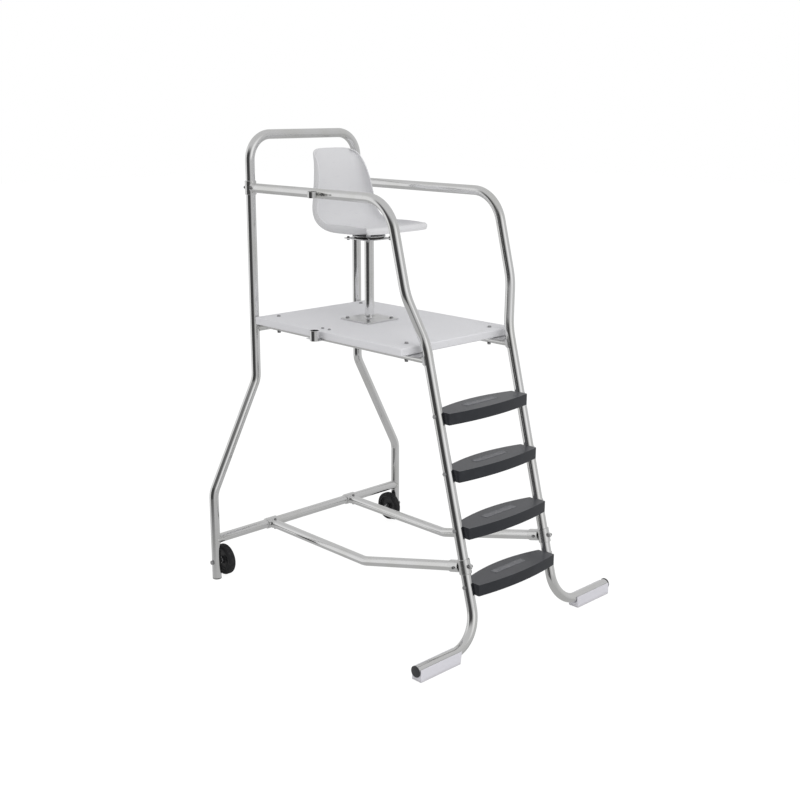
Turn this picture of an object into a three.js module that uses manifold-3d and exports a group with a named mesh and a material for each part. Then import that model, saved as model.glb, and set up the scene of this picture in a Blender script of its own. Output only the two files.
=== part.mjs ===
import * as THREE from 'three';
import { mergeVertices } from 'three/addons/utils/BufferGeometryUtils.js';
import Module from 'manifold-3d';

const wasm = await Module();
wasm.setup();

// Lifeguard chair in millimetres: +Z up, the ladder towards -Y, +X to the right seen from the ladder.
// While it is built, y = 0 is the plane of the rear hoop and z = 0 is the pool deck.

// Stainless tube and the clearances between pieces
const tubeDiameter = 48.3;
const tubeWall = 2.8;
const fitGap = 0.3;
const cutOverrun = 20;
const weldTolerance = 0.001;

// Rear hoop: two splayed legs and the top bar, bent from one tube
const hoopHeight = 2328;
const hoopCornerRadius = 130;
const upperHalfWidth = 363;
const rearLegHalfWidth = 665;
const splayTopHeight = 1060;
const splayFootHeight = 484;
const splayBendRadius = 120;

// Side rails: handrail, ladder rail and turned-out foot, bent from one tube
const handrailHeight = 2063;
const handrailLength = 1029;
const handrailBendRadius = 182;
const railLeanDegrees = 14.6;
const jogTopHeight = 1641;
const jogFootHeight = 1417;
const jogBendRadius = 110;
const ladderHalfWidth = 290;
const footTubeHeight = 48;
const footBendRadius = 167;
const footHalfSpan = 697;

// Lower frame: rear crossbar and the two rails from it to the ladder
const crossbarHeight = 223;
const lowerRailLevelLength = 774;
const lowerRailBendRadius = 130;

// Split tee fittings
const teeWall = 5;
const teeRunLength = 80;
const teeNeckStep = 2.65;
const teeNeckLength = 27.5;
const teeNeckBoltReach = 6.5;
const teeSpigotLength = 20;
const teeSocketFloor = 6.2;
const teeSocketWall = 4.5;
const teeSocketLength = 58;
const teeSocketBoltReach = 15.5;
const teeLugThickness = 11;
const teeLugReach = 14.5;
const teeLugHeight = 22;
const teeBoltWidth = 14;
const teeBoltHeight = 8;
const teeNutHeight = 6;

// Bolt heads and nuts, as shares of the bolt's size
const headWidthShare = 1.7;
const headHeightShare = 0.65;
const nutHeightShare = 0.8;

// Platform and what carries it
const platformTopHeight = 1400;
const platformThickness = 39;
const platformHalfWidth = 392;
const platformRearSetback = 42;
const platformLength = 1100;
const platformCornerRadius = 6;
const platformEdgeRadius = 6;
const bearerDiameter = 32;
const bearerWall = 2.5;
const bracketThickness = 6;
const bracketHalfWidth = 58;
const bracketFrontHalfWidth = 50;
const bracketFrontSetback = 14;
const bracketLap = 100;
const bracketSaddleWall = 6.5;
const bracketSaddleHeight = 40;
const rearTabLength = 140;
const rearTabWidth = 60;
const platformBoltInset = 71;
const platformBoltSize = 10;

// Pedestal, swivel and seat
const pedestalSetback = 500;
const basePlateSide = 212;
const basePlateThickness = 7;
const basePlateBoltSpacing = 160;
const pedestalBoltSize = 10;
const pedestalHeight = 409;
const swivelPlateSide = 180;
const swivelPlateThickness = 5;
const swivelBoltSpacing = 150;
const swivelBoltWidth = 13;
const swivelBoltHeight = 6;
const bearingRadius = 76;
const bearingHeight = 8;
const bearingBore = 30;
const bearingEdge = 2;
const upperPlateRadius = 80;
const upperPlateThickness = 4.5;
const seatShellThickness = 5;
const seatBossRadius = 13;
const seatBossSpacing = 112;
const seatDepth = 214;
const seatBackReach = 291;
const seatHeight = 414;
const seatPanHalfWidth = 211;
const seatRimPower = 3;

// Ladder treads
const treadCount = 4;
const topTreadDrop = 291.5;
const lowestTreadTop = 327;
const treadHeight = 55.5;
const treadHalfWidth = 275;
const treadFrontReach = 61;
const treadRearReach = 30;
const treadFrontBow = 25;
const treadRearBow = 40;
const treadWall = 9;
const treadTopThickness = 16;
const treadRibCount = 3;
const treadPanelHalfLength = 110;
const treadPanelHalfWidth = 17;
const treadPanelHeight = 1.6;
const treadBoltSize = 10;
const treadBoltDepth = 18;
const treadBoltGrip = 12;

// Front skids, plugs and leg tips
const skidLap = 29;
const skidLength = 265;
const skidHeight = 61;
const skidWall = 4.5;
const skidEndSlant = 8;
const footPlugDiameter = 54;
const plugFlange = 5;
const plugStem = 22;
const plugWall = 3;
const tipThickness = 6;

// Wheels and their axle bolts
const wheelRadius = 83;
const wheelWidth = 38;
const wheelHeight = 96;
const tyreThickness = 20;
const tyreShoulder = 7;
const hubWebThickness = 12;
const hubRimThickness = 6;
const hubBossRadius = 19;
const hubHoleCount = 5;
const hubHoleRadius = 11;
const wheelSideRoom = 8;
const axleSize = 12.7;

// Pole holders on the left side
const poleSetback = 572;
const poleOutset = 67;
const poleSocketOuter = 24;
const poleSocketWall = 3.6;
const upperHolderHeight = 30;
const upperHolderTabLength = 54;
const upperHolderTabHeight = 20;
const upperHolderTabEndHeight = 11;
const upperHolderTabThickness = 6;
const upperHolderScrewShares = [0.3, 0.82];
const upperHolderScrewWidth = 9;
const upperHolderScrewHeight = 4;
const lowerHolderHeight = 51;
const lowerHolderShift = 20;
const lowerHolderPlateWidth = 92;
const lowerHolderPlateReach = 98;
const lowerHolderPlateThickness = 3;
const lowerHolderBoltSpacing = 50;
const lowerHolderBoltInset = 32;
const lowerHolderBoltSize = 8;

// Sides of round shapes
const tubeSides = 16;
const boreSides = 12;
const shankSides = 6;
const smallSides = 12;
const holeSides = 8;
const wheelSides = 20;
const seatColumns = 14;
const treadBowSteps = 8;
const deckCornerSteps = 3;
const bendStepDegrees = 15;

// Values that follow from the driving dimensions
const tubeRadius = tubeDiameter / 2;
const railLean = THREE.MathUtils.degToRad(railLeanDegrees);
const platformUnderside = platformTopHeight - platformThickness;
const bearerTop = platformUnderside - bracketThickness - 2 * fitGap;
const bearerHeight = bearerTop - bearerDiameter / 2;
const bearerLow = bearerTop - bearerDiameter;
const platformFront = -platformRearSetback - platformLength;
const basePlateTop = platformTopHeight + fitGap + basePlateThickness;
const swivelPlateBottom = basePlateTop + pedestalHeight;
const bearingBottom = swivelPlateBottom + swivelPlateThickness + fitGap;
const upperPlateBottom = bearingBottom + bearingHeight + fitGap;
const upperPlateTop = upperPlateBottom + upperPlateThickness;
const seatBossBottom = upperPlateTop + fitGap;
const treadPitch = (platformTopHeight - topTreadDrop - lowestTreadTop) / (treadCount - 1);
const skidInnerEnd = ladderHalfWidth + footBendRadius - skidLap;
const spigotRadius = (tubeRadius - tubeWall) * Math.cos(Math.PI / boreSides) - fitGap;
const collarRadius = tubeRadius + fitGap + teeWall;
const neckEnd = collarRadius + teeNeckLength;
const socketBottom = tubeRadius + fitGap + teeSocketFloor;
const sides = [['left', -1], ['right', 1]];

// y of a side rail's centre line at a height
function railY(height) {
  return -handrailLength - (handrailHeight - height) * Math.tan(railLean);
}

// Solids are joined and cut as closed meshes
function toSolid(geometry) {
  const bare = geometry.index ? geometry.toNonIndexed() : geometry.clone();
  bare.deleteAttribute('normal');
  bare.deleteAttribute('uv');
  const merged = mergeVertices(bare, weldTolerance);
  const vertProperties = new Float32Array(merged.attributes.position.array);
  const triVerts = new Uint32Array(merged.index.array);
  return new wasm.Manifold(new wasm.Mesh({ numProp: 3, vertProperties, triVerts }));
}

function toGeometry(solid) {
  const { vertProperties, triVerts } = solid.getMesh();
  const geometry = new THREE.BufferGeometry();
  geometry.setAttribute('position', new THREE.BufferAttribute(new Float32Array(vertProperties), 3));
  geometry.setIndex(new THREE.BufferAttribute(new Uint32Array(triVerts), 1));
  const flat = geometry.toNonIndexed();
  flat.computeVertexNormals();
  return flat;
}

function join(geometries) {
  return toGeometry(geometries.map(toSolid).reduce((all, solid) => all.add(solid)));
}

function cut(geometry, tools) {
  return toGeometry(tools.map(toSolid).reduce((rest, tool) => rest.subtract(tool), toSolid(geometry)));
}

// A block between two corners
function block(low, high) {
  const size = new THREE.Vector3().subVectors(high, low);
  const middle = new THREE.Vector3().addVectors(low, high).multiplyScalar(0.5);
  return new THREE.BoxGeometry(size.x, size.y, size.z).translate(middle.x, middle.y, middle.z);
}

// A round rod between two points; flats outside makes its flats, not its corners, lie at the radius
function rod(start, end, radius, sideCount = smallSides, flatsOutside = false) {
  const axis = new THREE.Vector3().subVectors(end, start);
  const reach = flatsOutside ? radius / Math.cos(Math.PI / sideCount) : radius;
  const middle = new THREE.Vector3().addVectors(start, end).multiplyScalar(0.5);
  const turn = new THREE.Quaternion().setFromUnitVectors(
    new THREE.Vector3(0, 1, 0),
    axis.clone().normalize(),
  );
  const cylinder = new THREE.CylinderGeometry(reach, reach, axis.length(), sideCount);
  return cylinder.applyQuaternion(turn).translate(middle.x, middle.y, middle.z);
}

// The space that a round piece needs along its own line
function bore(start, end, radius, sideCount = smallSides) {
  const overrun = new THREE.Vector3().subVectors(end, start).setLength(cutOverrun);
  return rod(start.clone().sub(overrun), end.clone().add(overrun), radius + fitGap, sideCount, true);
}

// The stations of a tube's centre line: straight runs joined by arcs at the inner corners
function bentStations(corners, radii) {
  const stations = [];
  const last = corners.length - 1;
  const heading = (index) => new THREE.Vector3().subVectors(corners[index + 1], corners[index]).normalize();
  stations.push({ point: corners[0].clone(), tangent: heading(0) });
  for (let index = 1; index < last; index += 1) {
    const before = heading(index - 1);
    const after = heading(index);
    const turn = before.angleTo(after);
    const radius = radii[index - 1];
    const inward = after.clone().addScaledVector(before, -after.dot(before)).normalize();
    const start = corners[index].clone().addScaledVector(before, -radius * Math.tan(turn / 2));
    const steps = Math.max(2, Math.round(THREE.MathUtils.radToDeg(turn) / bendStepDegrees));
    for (let step = 0; step <= steps; step += 1) {
      const angle = turn * step / steps;
      const point = start.clone();
      point.addScaledVector(before, radius * Math.sin(angle));
      point.addScaledVector(inward, radius * (1 - Math.cos(angle)));
      const tangent = before.clone().multiplyScalar(Math.cos(angle));
      tangent.addScaledVector(inward, Math.sin(angle));
      stations.push({ point, tangent });
    }
  }
  stations.push({ point: corners[last].clone(), tangent: heading(last - 1) });
  return stations;
}

// A curve that an extrusion follows from station to station
class StationPath extends THREE.Curve {
  constructor(stations) {
    super();
    this.stations = stations;
  }

  stationAt(share) {
    return this.stations[Math.round(share * (this.stations.length - 1))];
  }

  getPointAt(share) {
    return this.stationAt(share).point.clone();
  }

  getTangentAt(share) {
    return this.stationAt(share).tangent.clone();
  }
}

function ringPoints(radius, sideCount) {
  const points = [];
  for (let index = 0; index < sideCount; index += 1) {
    const angle = 2 * Math.PI * index / sideCount;
    points.push(new THREE.Vector2(radius * Math.cos(angle), radius * Math.sin(angle)));
  }
  return points;
}

function sweep(section, corners, radii) {
  const stations = bentStations(corners, radii);
  return new THREE.ExtrudeGeometry(section, {
    steps: stations.length - 1,
    bevelEnabled: false,
    extrudePath: new StationPath(stations),
  });
}

// A hollow tube with open ends along a bent centre line
function bentTube(corners, radii, diameter = tubeDiameter, wall = tubeWall) {
  const section = new THREE.Shape(ringPoints(diameter / 2, tubeSides));
  section.holes.push(new THREE.Path(ringPoints(diameter / 2 - wall, boreSides)));
  return sweep(section, corners, radii);
}

// The space that a bent tube needs along its own line
function bentRoom(corners, radii) {
  const reach = (tubeRadius + fitGap) / Math.cos(Math.PI / tubeSides);
  return sweep(new THREE.Shape(ringPoints(reach, tubeSides)), corners, radii);
}

// A hexagon head or nut standing on a point, along a direction
function hexHead(point, direction, width, height) {
  const top = point.clone().addScaledVector(direction, height);
  return rod(point, top, width / Math.sqrt(3), 6);
}

// A plate between two heights with a drawn outline
function plate(outline, bottom, top) {
  const geometry = new THREE.ExtrudeGeometry(new THREE.Shape(outline), {
    depth: top - bottom,
    bevelEnabled: false,
  });
  return geometry.translate(0, 0, bottom);
}

function vector(x, y, z) {
  return new THREE.Vector3(x, y, z);
}

function flatPoint(x, y) {
  return new THREE.Vector2(x, y);
}

// Materials
const materials = {
  tube: { color: 0xb4b6b8, roughness: 0.28, metalness: 1 },
  fitting: { color: 0x9c9ea0, roughness: 0.35, metalness: 1 },
  fastener: { color: 0x8e9092, roughness: 0.3, metalness: 1 },
  plate: { color: 0xa8aaac, roughness: 0.32, metalness: 1 },
  platform: { color: 0xd0d0d2, roughness: 0.62, metalness: 0 },
  seat: { color: 0xd0d0d2, roughness: 0.45, metalness: 0 },
  tread: { color: 0x3a3b3f, roughness: 0.6, metalness: 0 },
  skid: { color: 0xd2d1d5, roughness: 0.55, metalness: 0 },
  plug: { color: 0x35363a, roughness: 0.5, metalness: 0 },
  tyre: { color: 0x26272a, roughness: 0.75, metalness: 0 },
  hub: { color: 0x2e2f33, roughness: 0.45, metalness: 0 },
  bearing: { color: 0x4a4b4d, roughness: 0.4, metalness: 1 },
};

const chair = new THREE.Group();

function addPiece(name, geometry, finish) {
  const mesh = new THREE.Mesh(geometry, new THREE.MeshStandardMaterial(materials[finish]));
  mesh.name = name;
  chair.add(mesh);
}

// Rear hoop with the axle holes near its feet
const legBottom = tipThickness;
const axleRadius = axleSize / 2;
const hoopTube = bentTube([
  vector(-rearLegHalfWidth, 0, legBottom),
  vector(-rearLegHalfWidth, 0, splayFootHeight),
  vector(-upperHalfWidth, 0, splayTopHeight),
  vector(-upperHalfWidth, 0, hoopHeight),
  vector(upperHalfWidth, 0, hoopHeight),
  vector(upperHalfWidth, 0, splayTopHeight),
  vector(rearLegHalfWidth, 0, splayFootHeight),
  vector(rearLegHalfWidth, 0, legBottom),
], [
  splayBendRadius,
  splayBendRadius,
  hoopCornerRadius,
  hoopCornerRadius,
  splayBendRadius,
  splayBendRadius,
]);
const axleHoles = sides.map(([, side]) => bore(
  vector(side * (rearLegHalfWidth - tubeRadius), 0, wheelHeight),
  vector(side * (rearLegHalfWidth + tubeRadius), 0, wheelHeight),
  axleRadius,
));
addPiece('rear_hoop', cut(hoopTube, axleHoles), 'tube');

// Straight tubes between the hoop legs, their ends coped to the legs
function legToLegTube(halfWidth, height) {
  const tube = bentTube([vector(-halfWidth, 0, height), vector(halfWidth, 0, height)], []);
  const copes = sides.map(([, side]) => rod(
    vector(side * halfWidth, 0, height - 2 * tubeDiameter),
    vector(side * halfWidth, 0, height + 2 * tubeDiameter),
    tubeRadius + fitGap,
    tubeSides,
    true,
  ));
  return cut(tube, copes);
}
addPiece('rear_crossbar', legToLegTube(rearLegHalfWidth, crossbarHeight), 'tube');

// Platform cross tube with its two welded tabs, which lie on the bearers and carry the platform
const boltRadius = platformBoltSize / 2;
const rearBoltY = -platformRearSetback - platformBoltInset;
const frontBoltY = platformFront + platformBoltInset;
const tabBottom = bearerTop + fitGap;
const tabTop = platformUnderside - fitGap;
const rearTabs = sides.map(([, side]) => block(
  vector(side * ladderHalfWidth - rearTabWidth / 2, -rearTabLength, tabBottom),
  vector(side * ladderHalfWidth + rearTabWidth / 2, -tubeWall, tabTop),
));
const crossTubeHeight = tabTop - tubeRadius;
const crossTubeBore = rod(
  vector(-upperHalfWidth, 0, crossTubeHeight),
  vector(upperHalfWidth, 0, crossTubeHeight),
  tubeRadius - tubeWall,
  boreSides,
);
const rearTabHoles = sides.map(([, side]) => bore(
  vector(side * ladderHalfWidth, rearBoltY, tabBottom),
  vector(side * ladderHalfWidth, rearBoltY, tabTop),
  boltRadius,
));
addPiece('platform_cross_tube', cut(
  join([legToLegTube(upperHalfWidth, crossTubeHeight), ...rearTabs]),
  [crossTubeBore, ...rearTabHoles],
), 'tube');

// Side rails, with a hole through each for every tread bolt
function treadTop(index) {
  return platformTopHeight - topTreadDrop - index * treadPitch;
}

// Each tread bolt runs level, from outside the rail through it into the tread's end
function treadBoltLine(side, index) {
  const height = treadTop(index) - treadBoltDepth;
  const outside = tubeRadius + fitGap;
  return {
    head: vector(side * (ladderHalfWidth + outside), railY(height), height),
    end: vector(side * (ladderHalfWidth - outside - treadBoltGrip), railY(height), height),
  };
}

const footY = railY(footTubeHeight);
const railRadii = [handrailBendRadius, jogBendRadius, jogBendRadius, footBendRadius];
function railCorners(side) {
  return [
    vector(side * upperHalfWidth, -neckEnd, handrailHeight),
    vector(side * upperHalfWidth, -handrailLength, handrailHeight),
    vector(side * upperHalfWidth, railY(jogTopHeight), jogTopHeight),
    vector(side * ladderHalfWidth, railY(jogFootHeight), jogFootHeight),
    vector(side * ladderHalfWidth, footY, footTubeHeight),
    vector(side * footHalfSpan, footY, footTubeHeight),
  ];
}
for (const [sideName, side] of sides) {
  const tube = bentTube(railCorners(side), railRadii);
  const boltHoles = [];
  for (let index = 0; index < treadCount; index += 1) {
    const { head, end } = treadBoltLine(side, index);
    boltHoles.push(bore(head, end, treadBoltSize / 2, shankSides));
  }
  addPiece(`${sideName}_rail`, cut(tube, boltHoles), 'tube');
}

// Lower rails run level from the crossbar tees, then rise square to the ladder rails into their sockets
const riseLength = Math.cos(railLean) * (
  handrailLength - lowerRailLevelLength + (handrailHeight - crossbarHeight) * Math.tan(railLean)
);
const riseDirection = vector(0, -Math.cos(railLean), Math.sin(railLean));
for (const [sideName, side] of sides) {
  const bend = vector(side * ladderHalfWidth, -lowerRailLevelLength, crossbarHeight);
  const start = vector(side * ladderHalfWidth, -neckEnd, crossbarHeight);
  const end = bend.clone().addScaledVector(riseDirection, riseLength - socketBottom - fitGap);
  addPiece(`${sideName}_lower_rail`, bentTube([start, bend, end], [lowerRailBendRadius]), 'tube');
}

// A split tee: a collar clamped round a run tube, with a neck in the branch tube or a socket round it.
// It is drawn with the run along z, the branch along -y and its bolts along x, then turned and placed.
function splitTee(socketed) {
  const halfRun = teeRunLength / 2;
  const halfLug = teeLugThickness / 2;
  const along = (distance) => vector(0, -distance, 0);
  const socketEnd = collarRadius + teeSocketLength;
  const branchRadius = socketed ? tubeRadius + fitGap + teeSocketWall : tubeRadius - teeNeckStep;
  const branchEnd = socketed ? socketEnd : neckEnd - fitGap;
  const boltReach = collarRadius + (socketed ? teeSocketBoltReach : teeNeckBoltReach);
  const headSeat = Math.sqrt(branchRadius ** 2 - (teeBoltWidth / 2) ** 2) - fitGap;
  const pieces = [
    rod(vector(0, 0, -halfRun), vector(0, 0, halfRun), collarRadius, tubeSides),
    rod(along(0), along(branchEnd), branchRadius, tubeSides),
    block(
      vector(-halfLug, 0, -teeLugHeight / 2),
      vector(halfLug, collarRadius + teeLugReach, teeLugHeight / 2),
    ),
  ];
  if (!socketed) {
    pieces.push(rod(along(0), along(neckEnd + teeSpigotLength), spigotRadius, tubeSides));
  }
  for (const [y, x] of [[-boltReach, headSeat], [collarRadius + teeLugReach / 2, halfLug - fitGap]]) {
    pieces.push(rod(vector(x, y, 0), vector(x + teeBoltHeight, y, 0), teeBoltWidth / 2));
    pieces.push(hexHead(vector(-x, y, 0), vector(-1, 0, 0), teeBoltWidth, teeNutHeight));
  }
  const rooms = [bore(vector(0, 0, -halfRun), vector(0, 0, halfRun), tubeRadius, tubeSides)];
  if (socketed) {
    rooms.push(rod(
      along(socketBottom),
      along(socketEnd + cutOverrun),
      tubeRadius + fitGap,
      tubeSides,
      true,
    ));
  }
  return cut(join(pieces), rooms);
}
const neckTee = splitTee(false);
const socketTee = splitTee(true);
for (const [sideName, side] of sides) {
  const headsOut = side < 0 ? Math.PI : 0;
  const upper = neckTee.clone().rotateY(headsOut).translate(side * upperHalfWidth, 0, handrailHeight);
  addPiece(`${sideName}_handrail_tee`, upper, 'fitting');

  const rear = neckTee.clone().rotateY(-Math.PI / 2);
  addPiece(`${sideName}_crossbar_tee`, rear.translate(side * ladderHalfWidth, 0, crossbarHeight), 'fitting');

  const meeting = vector(side * ladderHalfWidth, -lowerRailLevelLength, crossbarHeight);
  meeting.addScaledVector(riseDirection, riseLength);
  const front = socketTee.clone().rotateY(Math.PI - headsOut).rotateZ(Math.PI).rotateX(-railLean);
  addPiece(`${sideName}_ladder_tee`, front.translate(meeting.x, meeting.y, meeting.z), 'fitting');
}

// Bearers under the platform: round tubes from the cross tube to the saddles on the ladder rails
const saddleRadius = tubeRadius + fitGap + bracketSaddleWall;
const saddleLow = tabTop - bracketSaddleHeight;
for (const [sideName, side] of sides) {
  const x = side * ladderHalfWidth;
  const tube = bentTube([
    vector(x, 0, bearerHeight),
    vector(x, railY(bearerHeight), bearerHeight),
  ], [], bearerDiameter, bearerWall);
  const rearCope = rod(
    vector(x - bearerDiameter, 0, crossTubeHeight),
    vector(x + bearerDiameter, 0, crossTubeHeight),
    tubeRadius + fitGap,
    tubeSides,
    true,
  );
  const frontCope = bore(
    vector(x, railY(saddleLow), saddleLow),
    vector(x, railY(tabTop), tabTop),
    saddleRadius,
    tubeSides,
  );
  const holes = [rearBoltY, frontBoltY].map((y) => bore(
    vector(x, y, bearerLow),
    vector(x, y, bearerTop),
    boltRadius,
  ));
  addPiece(`${sideName}_platform_bearer`, cut(tube, [rearCope, frontCope, ...holes]), 'tube');
}

// Front brackets: a plate on the bearer, narrower ahead of the platform, with a saddle behind the rail
for (const [sideName, side] of sides) {
  const x = side * ladderHalfWidth;
  const railAt = (height) => vector(x, railY(height), height);
  const railLine = railY(tabTop);
  const plateFront = railLine + bracketFrontSetback;
  const plateRear = platformFront + bracketLap;
  const flat = plate([
    flatPoint(x - bracketFrontHalfWidth, plateFront),
    flatPoint(x + bracketFrontHalfWidth, plateFront),
    flatPoint(x + bracketHalfWidth, platformFront),
    flatPoint(x + bracketHalfWidth, plateRear),
    flatPoint(x - bracketHalfWidth, plateRear),
    flatPoint(x - bracketHalfWidth, platformFront),
  ], tabBottom, tabTop);
  const saddleSolid = rod(railAt(saddleLow), railAt(tabTop), saddleRadius, tubeSides);
  const tubeRoom = bore(railAt(saddleLow), railAt(tabTop), tubeRadius, tubeSides);
  const frontHalf = block(
    vector(x - 2 * saddleRadius, railLine - 4 * saddleRadius, saddleLow - saddleRadius),
    vector(x + 2 * saddleRadius, railLine, tabTop + saddleRadius),
  );
  const aboveFlat = block(
    vector(x - 2 * saddleRadius, railLine - saddleRadius, tabTop),
    vector(x + 2 * saddleRadius, plateRear, tabTop + saddleRadius),
  );
  const boltHole = bore(vector(x, frontBoltY, tabBottom), vector(x, frontBoltY, tabTop), boltRadius);
  const bracket = cut(join([flat, saddleSolid]), [tubeRoom, frontHalf, aboveFlat, boltHole]);
  addPiece(`${sideName}_front_bracket`, bracket, 'plate');
}

// Platform deck with rounded edges and corners and holes for every bolt through it
const pedestalBoltRadius = pedestalBoltSize / 2;
const holderX = -upperHalfWidth - poleOutset;
const holderPlateEnd = holderX + poleSocketOuter + lowerHolderPlateReach;
const holderBoltX = holderPlateEnd - lowerHolderBoltInset;
const holderPlateY = lowerHolderShift - poleSetback;
const platformBolts = [];
for (const [sideName, side] of sides) {
  platformBolts.push([`${sideName}_rear`, side * ladderHalfWidth, rearBoltY]);
  platformBolts.push([`${sideName}_front`, side * ladderHalfWidth, frontBoltY]);
}
const pedestalBolts = [];
for (const [sideName, side] of sides) {
  for (const [endName, end] of [['rear', 1], ['front', -1]]) {
    const x = side * basePlateBoltSpacing / 2;
    pedestalBolts.push([`${sideName}_${endName}`, x, -pedestalSetback + end * basePlateBoltSpacing / 2]);
  }
}
const holderBolts = [
  ['rear', holderBoltX, holderPlateY + lowerHolderBoltSpacing / 2],
  ['front', holderBoltX, holderPlateY - lowerHolderBoltSpacing / 2],
];
const lowerPlateTop = platformUnderside - fitGap;
const lowerPlateBottom = lowerPlateTop - lowerHolderPlateThickness;

const deckInset = platformEdgeRadius;
const cornerReach = deckInset + platformCornerRadius;
const cornerX = platformHalfWidth - cornerReach;
const deckShape = new THREE.Shape();
[
  [cornerX, -platformRearSetback - cornerReach],
  [-cornerX, -platformRearSetback - cornerReach],
  [-cornerX, platformFront + cornerReach],
  [cornerX, platformFront + cornerReach],
].forEach(([x, y], index) => {
  const from = index * Math.PI / 2;
  deckShape.absarc(x, y, platformCornerRadius, from, from + Math.PI / 2);
});
const deck = new THREE.ExtrudeGeometry(deckShape, {
  depth: platformThickness - 2 * deckInset,
  bevelThickness: deckInset,
  bevelSize: deckInset,
  bevelSegments: 2,
  curveSegments: deckCornerSteps,
}).translate(0, 0, platformUnderside + deckInset);
function deckHole(x, y, radius) {
  return bore(vector(x, y, platformUnderside), vector(x, y, platformTopHeight), radius, holeSides);
}
addPiece('platform', cut(deck, [
  ...platformBolts.map(([, x, y]) => deckHole(x, y, boltRadius)),
  ...pedestalBolts.map(([, x, y]) => deckHole(x, y, pedestalBoltRadius)),
  ...holderBolts.map(([, x, y]) => deckHole(x, y, lowerHolderBoltSize / 2)),
]), 'platform');

// A bolt straight down through a stack, with its head above and its nut below
function standingBolt(x, y, top, bottom, size) {
  const radius = size / 2;
  const headWidth = size * headWidthShare;
  const headHeight = size * headHeightShare;
  const nutHeight = size * nutHeightShare;
  const head = hexHead(vector(x, y, top + fitGap), vector(0, 0, 1), headWidth, headHeight);
  const nut = hexHead(vector(x, y, bottom - fitGap), vector(0, 0, -1), headWidth, nutHeight);
  const shankEnd = vector(x, y, bottom - 2 * nutHeight);
  const shank = rod(shankEnd, vector(x, y, top + headHeight / 2), radius, shankSides);
  return join([head, nut, shank]);
}
for (const [place, x, y] of platformBolts) {
  const geometry = standingBolt(x, y, platformTopHeight, bearerLow, platformBoltSize);
  addPiece(`platform_bolt_${place}`, geometry, 'fastener');
}
for (const [place, x, y] of pedestalBolts) {
  const geometry = standingBolt(x, y, basePlateTop, platformUnderside, pedestalBoltSize);
  addPiece(`pedestal_bolt_${place}`, geometry, 'fastener');
}
for (const [place, x, y] of holderBolts) {
  const geometry = standingBolt(x, y, platformTopHeight, lowerPlateBottom, lowerHolderBoltSize);
  addPiece(`pole_holder_bolt_${place}`, geometry, 'fastener');
}

// Pedestal: base plate, post and the fixed half of the swivel
const postBottom = basePlateTop + fitGap;
const postTop = swivelPlateBottom - fitGap;
const basePlate = block(
  vector(-basePlateSide / 2, -pedestalSetback - basePlateSide / 2, platformTopHeight + fitGap),
  vector(basePlateSide / 2, -pedestalSetback + basePlateSide / 2, basePlateTop),
);
addPiece('pedestal_base_plate', cut(basePlate, pedestalBolts.map(([, x, y]) => bore(
  vector(x, y, platformTopHeight),
  vector(x, y, basePlateTop),
  pedestalBoltRadius,
))), 'plate');
addPiece('pedestal_post', bentTube([
  vector(0, -pedestalSetback, postBottom),
  vector(0, -pedestalSetback, postTop),
], []), 'tube');
const swivelPlateTop = swivelPlateBottom + swivelPlateThickness;
const swivelPlate = block(
  vector(-swivelPlateSide / 2, -pedestalSetback - swivelPlateSide / 2, swivelPlateBottom),
  vector(swivelPlateSide / 2, -pedestalSetback + swivelPlateSide / 2, swivelPlateTop),
);
const swivelHeads = [];
for (const [, side] of sides) {
  for (const end of [-1, 1]) {
    const x = side * swivelBoltSpacing / 2;
    const y = -pedestalSetback + end * swivelBoltSpacing / 2;
    for (const [z, up] of [[swivelPlateTop - fitGap, 1], [swivelPlateBottom + fitGap, -1]]) {
      swivelHeads.push(hexHead(vector(x, y, z), vector(0, 0, up), swivelBoltWidth, swivelBoltHeight));
    }
  }
}
addPiece('swivel_lower_plate', join([swivelPlate, ...swivelHeads]), 'plate');

// Bearing race between the fixed and the turning plate
const bearingProfile = [
  flatPoint(bearingBore, 0),
  flatPoint(bearingRadius - bearingEdge, 0),
  flatPoint(bearingRadius, bearingEdge),
  flatPoint(bearingRadius, bearingHeight - bearingEdge),
  flatPoint(bearingRadius - bearingEdge, bearingHeight),
  flatPoint(bearingBore, bearingHeight),
  flatPoint(bearingBore, 0),
];
const bearing = new THREE.LatheGeometry(bearingProfile, wheelSides).rotateX(Math.PI / 2);
addPiece('swivel_bearing', bearing.translate(0, -pedestalSetback, bearingBottom), 'bearing');

const upperPlate = rod(
  vector(0, -pedestalSetback, upperPlateBottom),
  vector(0, -pedestalSetback, upperPlateTop),
  upperPlateRadius,
  wheelSides,
);
addPiece('swivel_upper_plate', upperPlate, 'plate');

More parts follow.
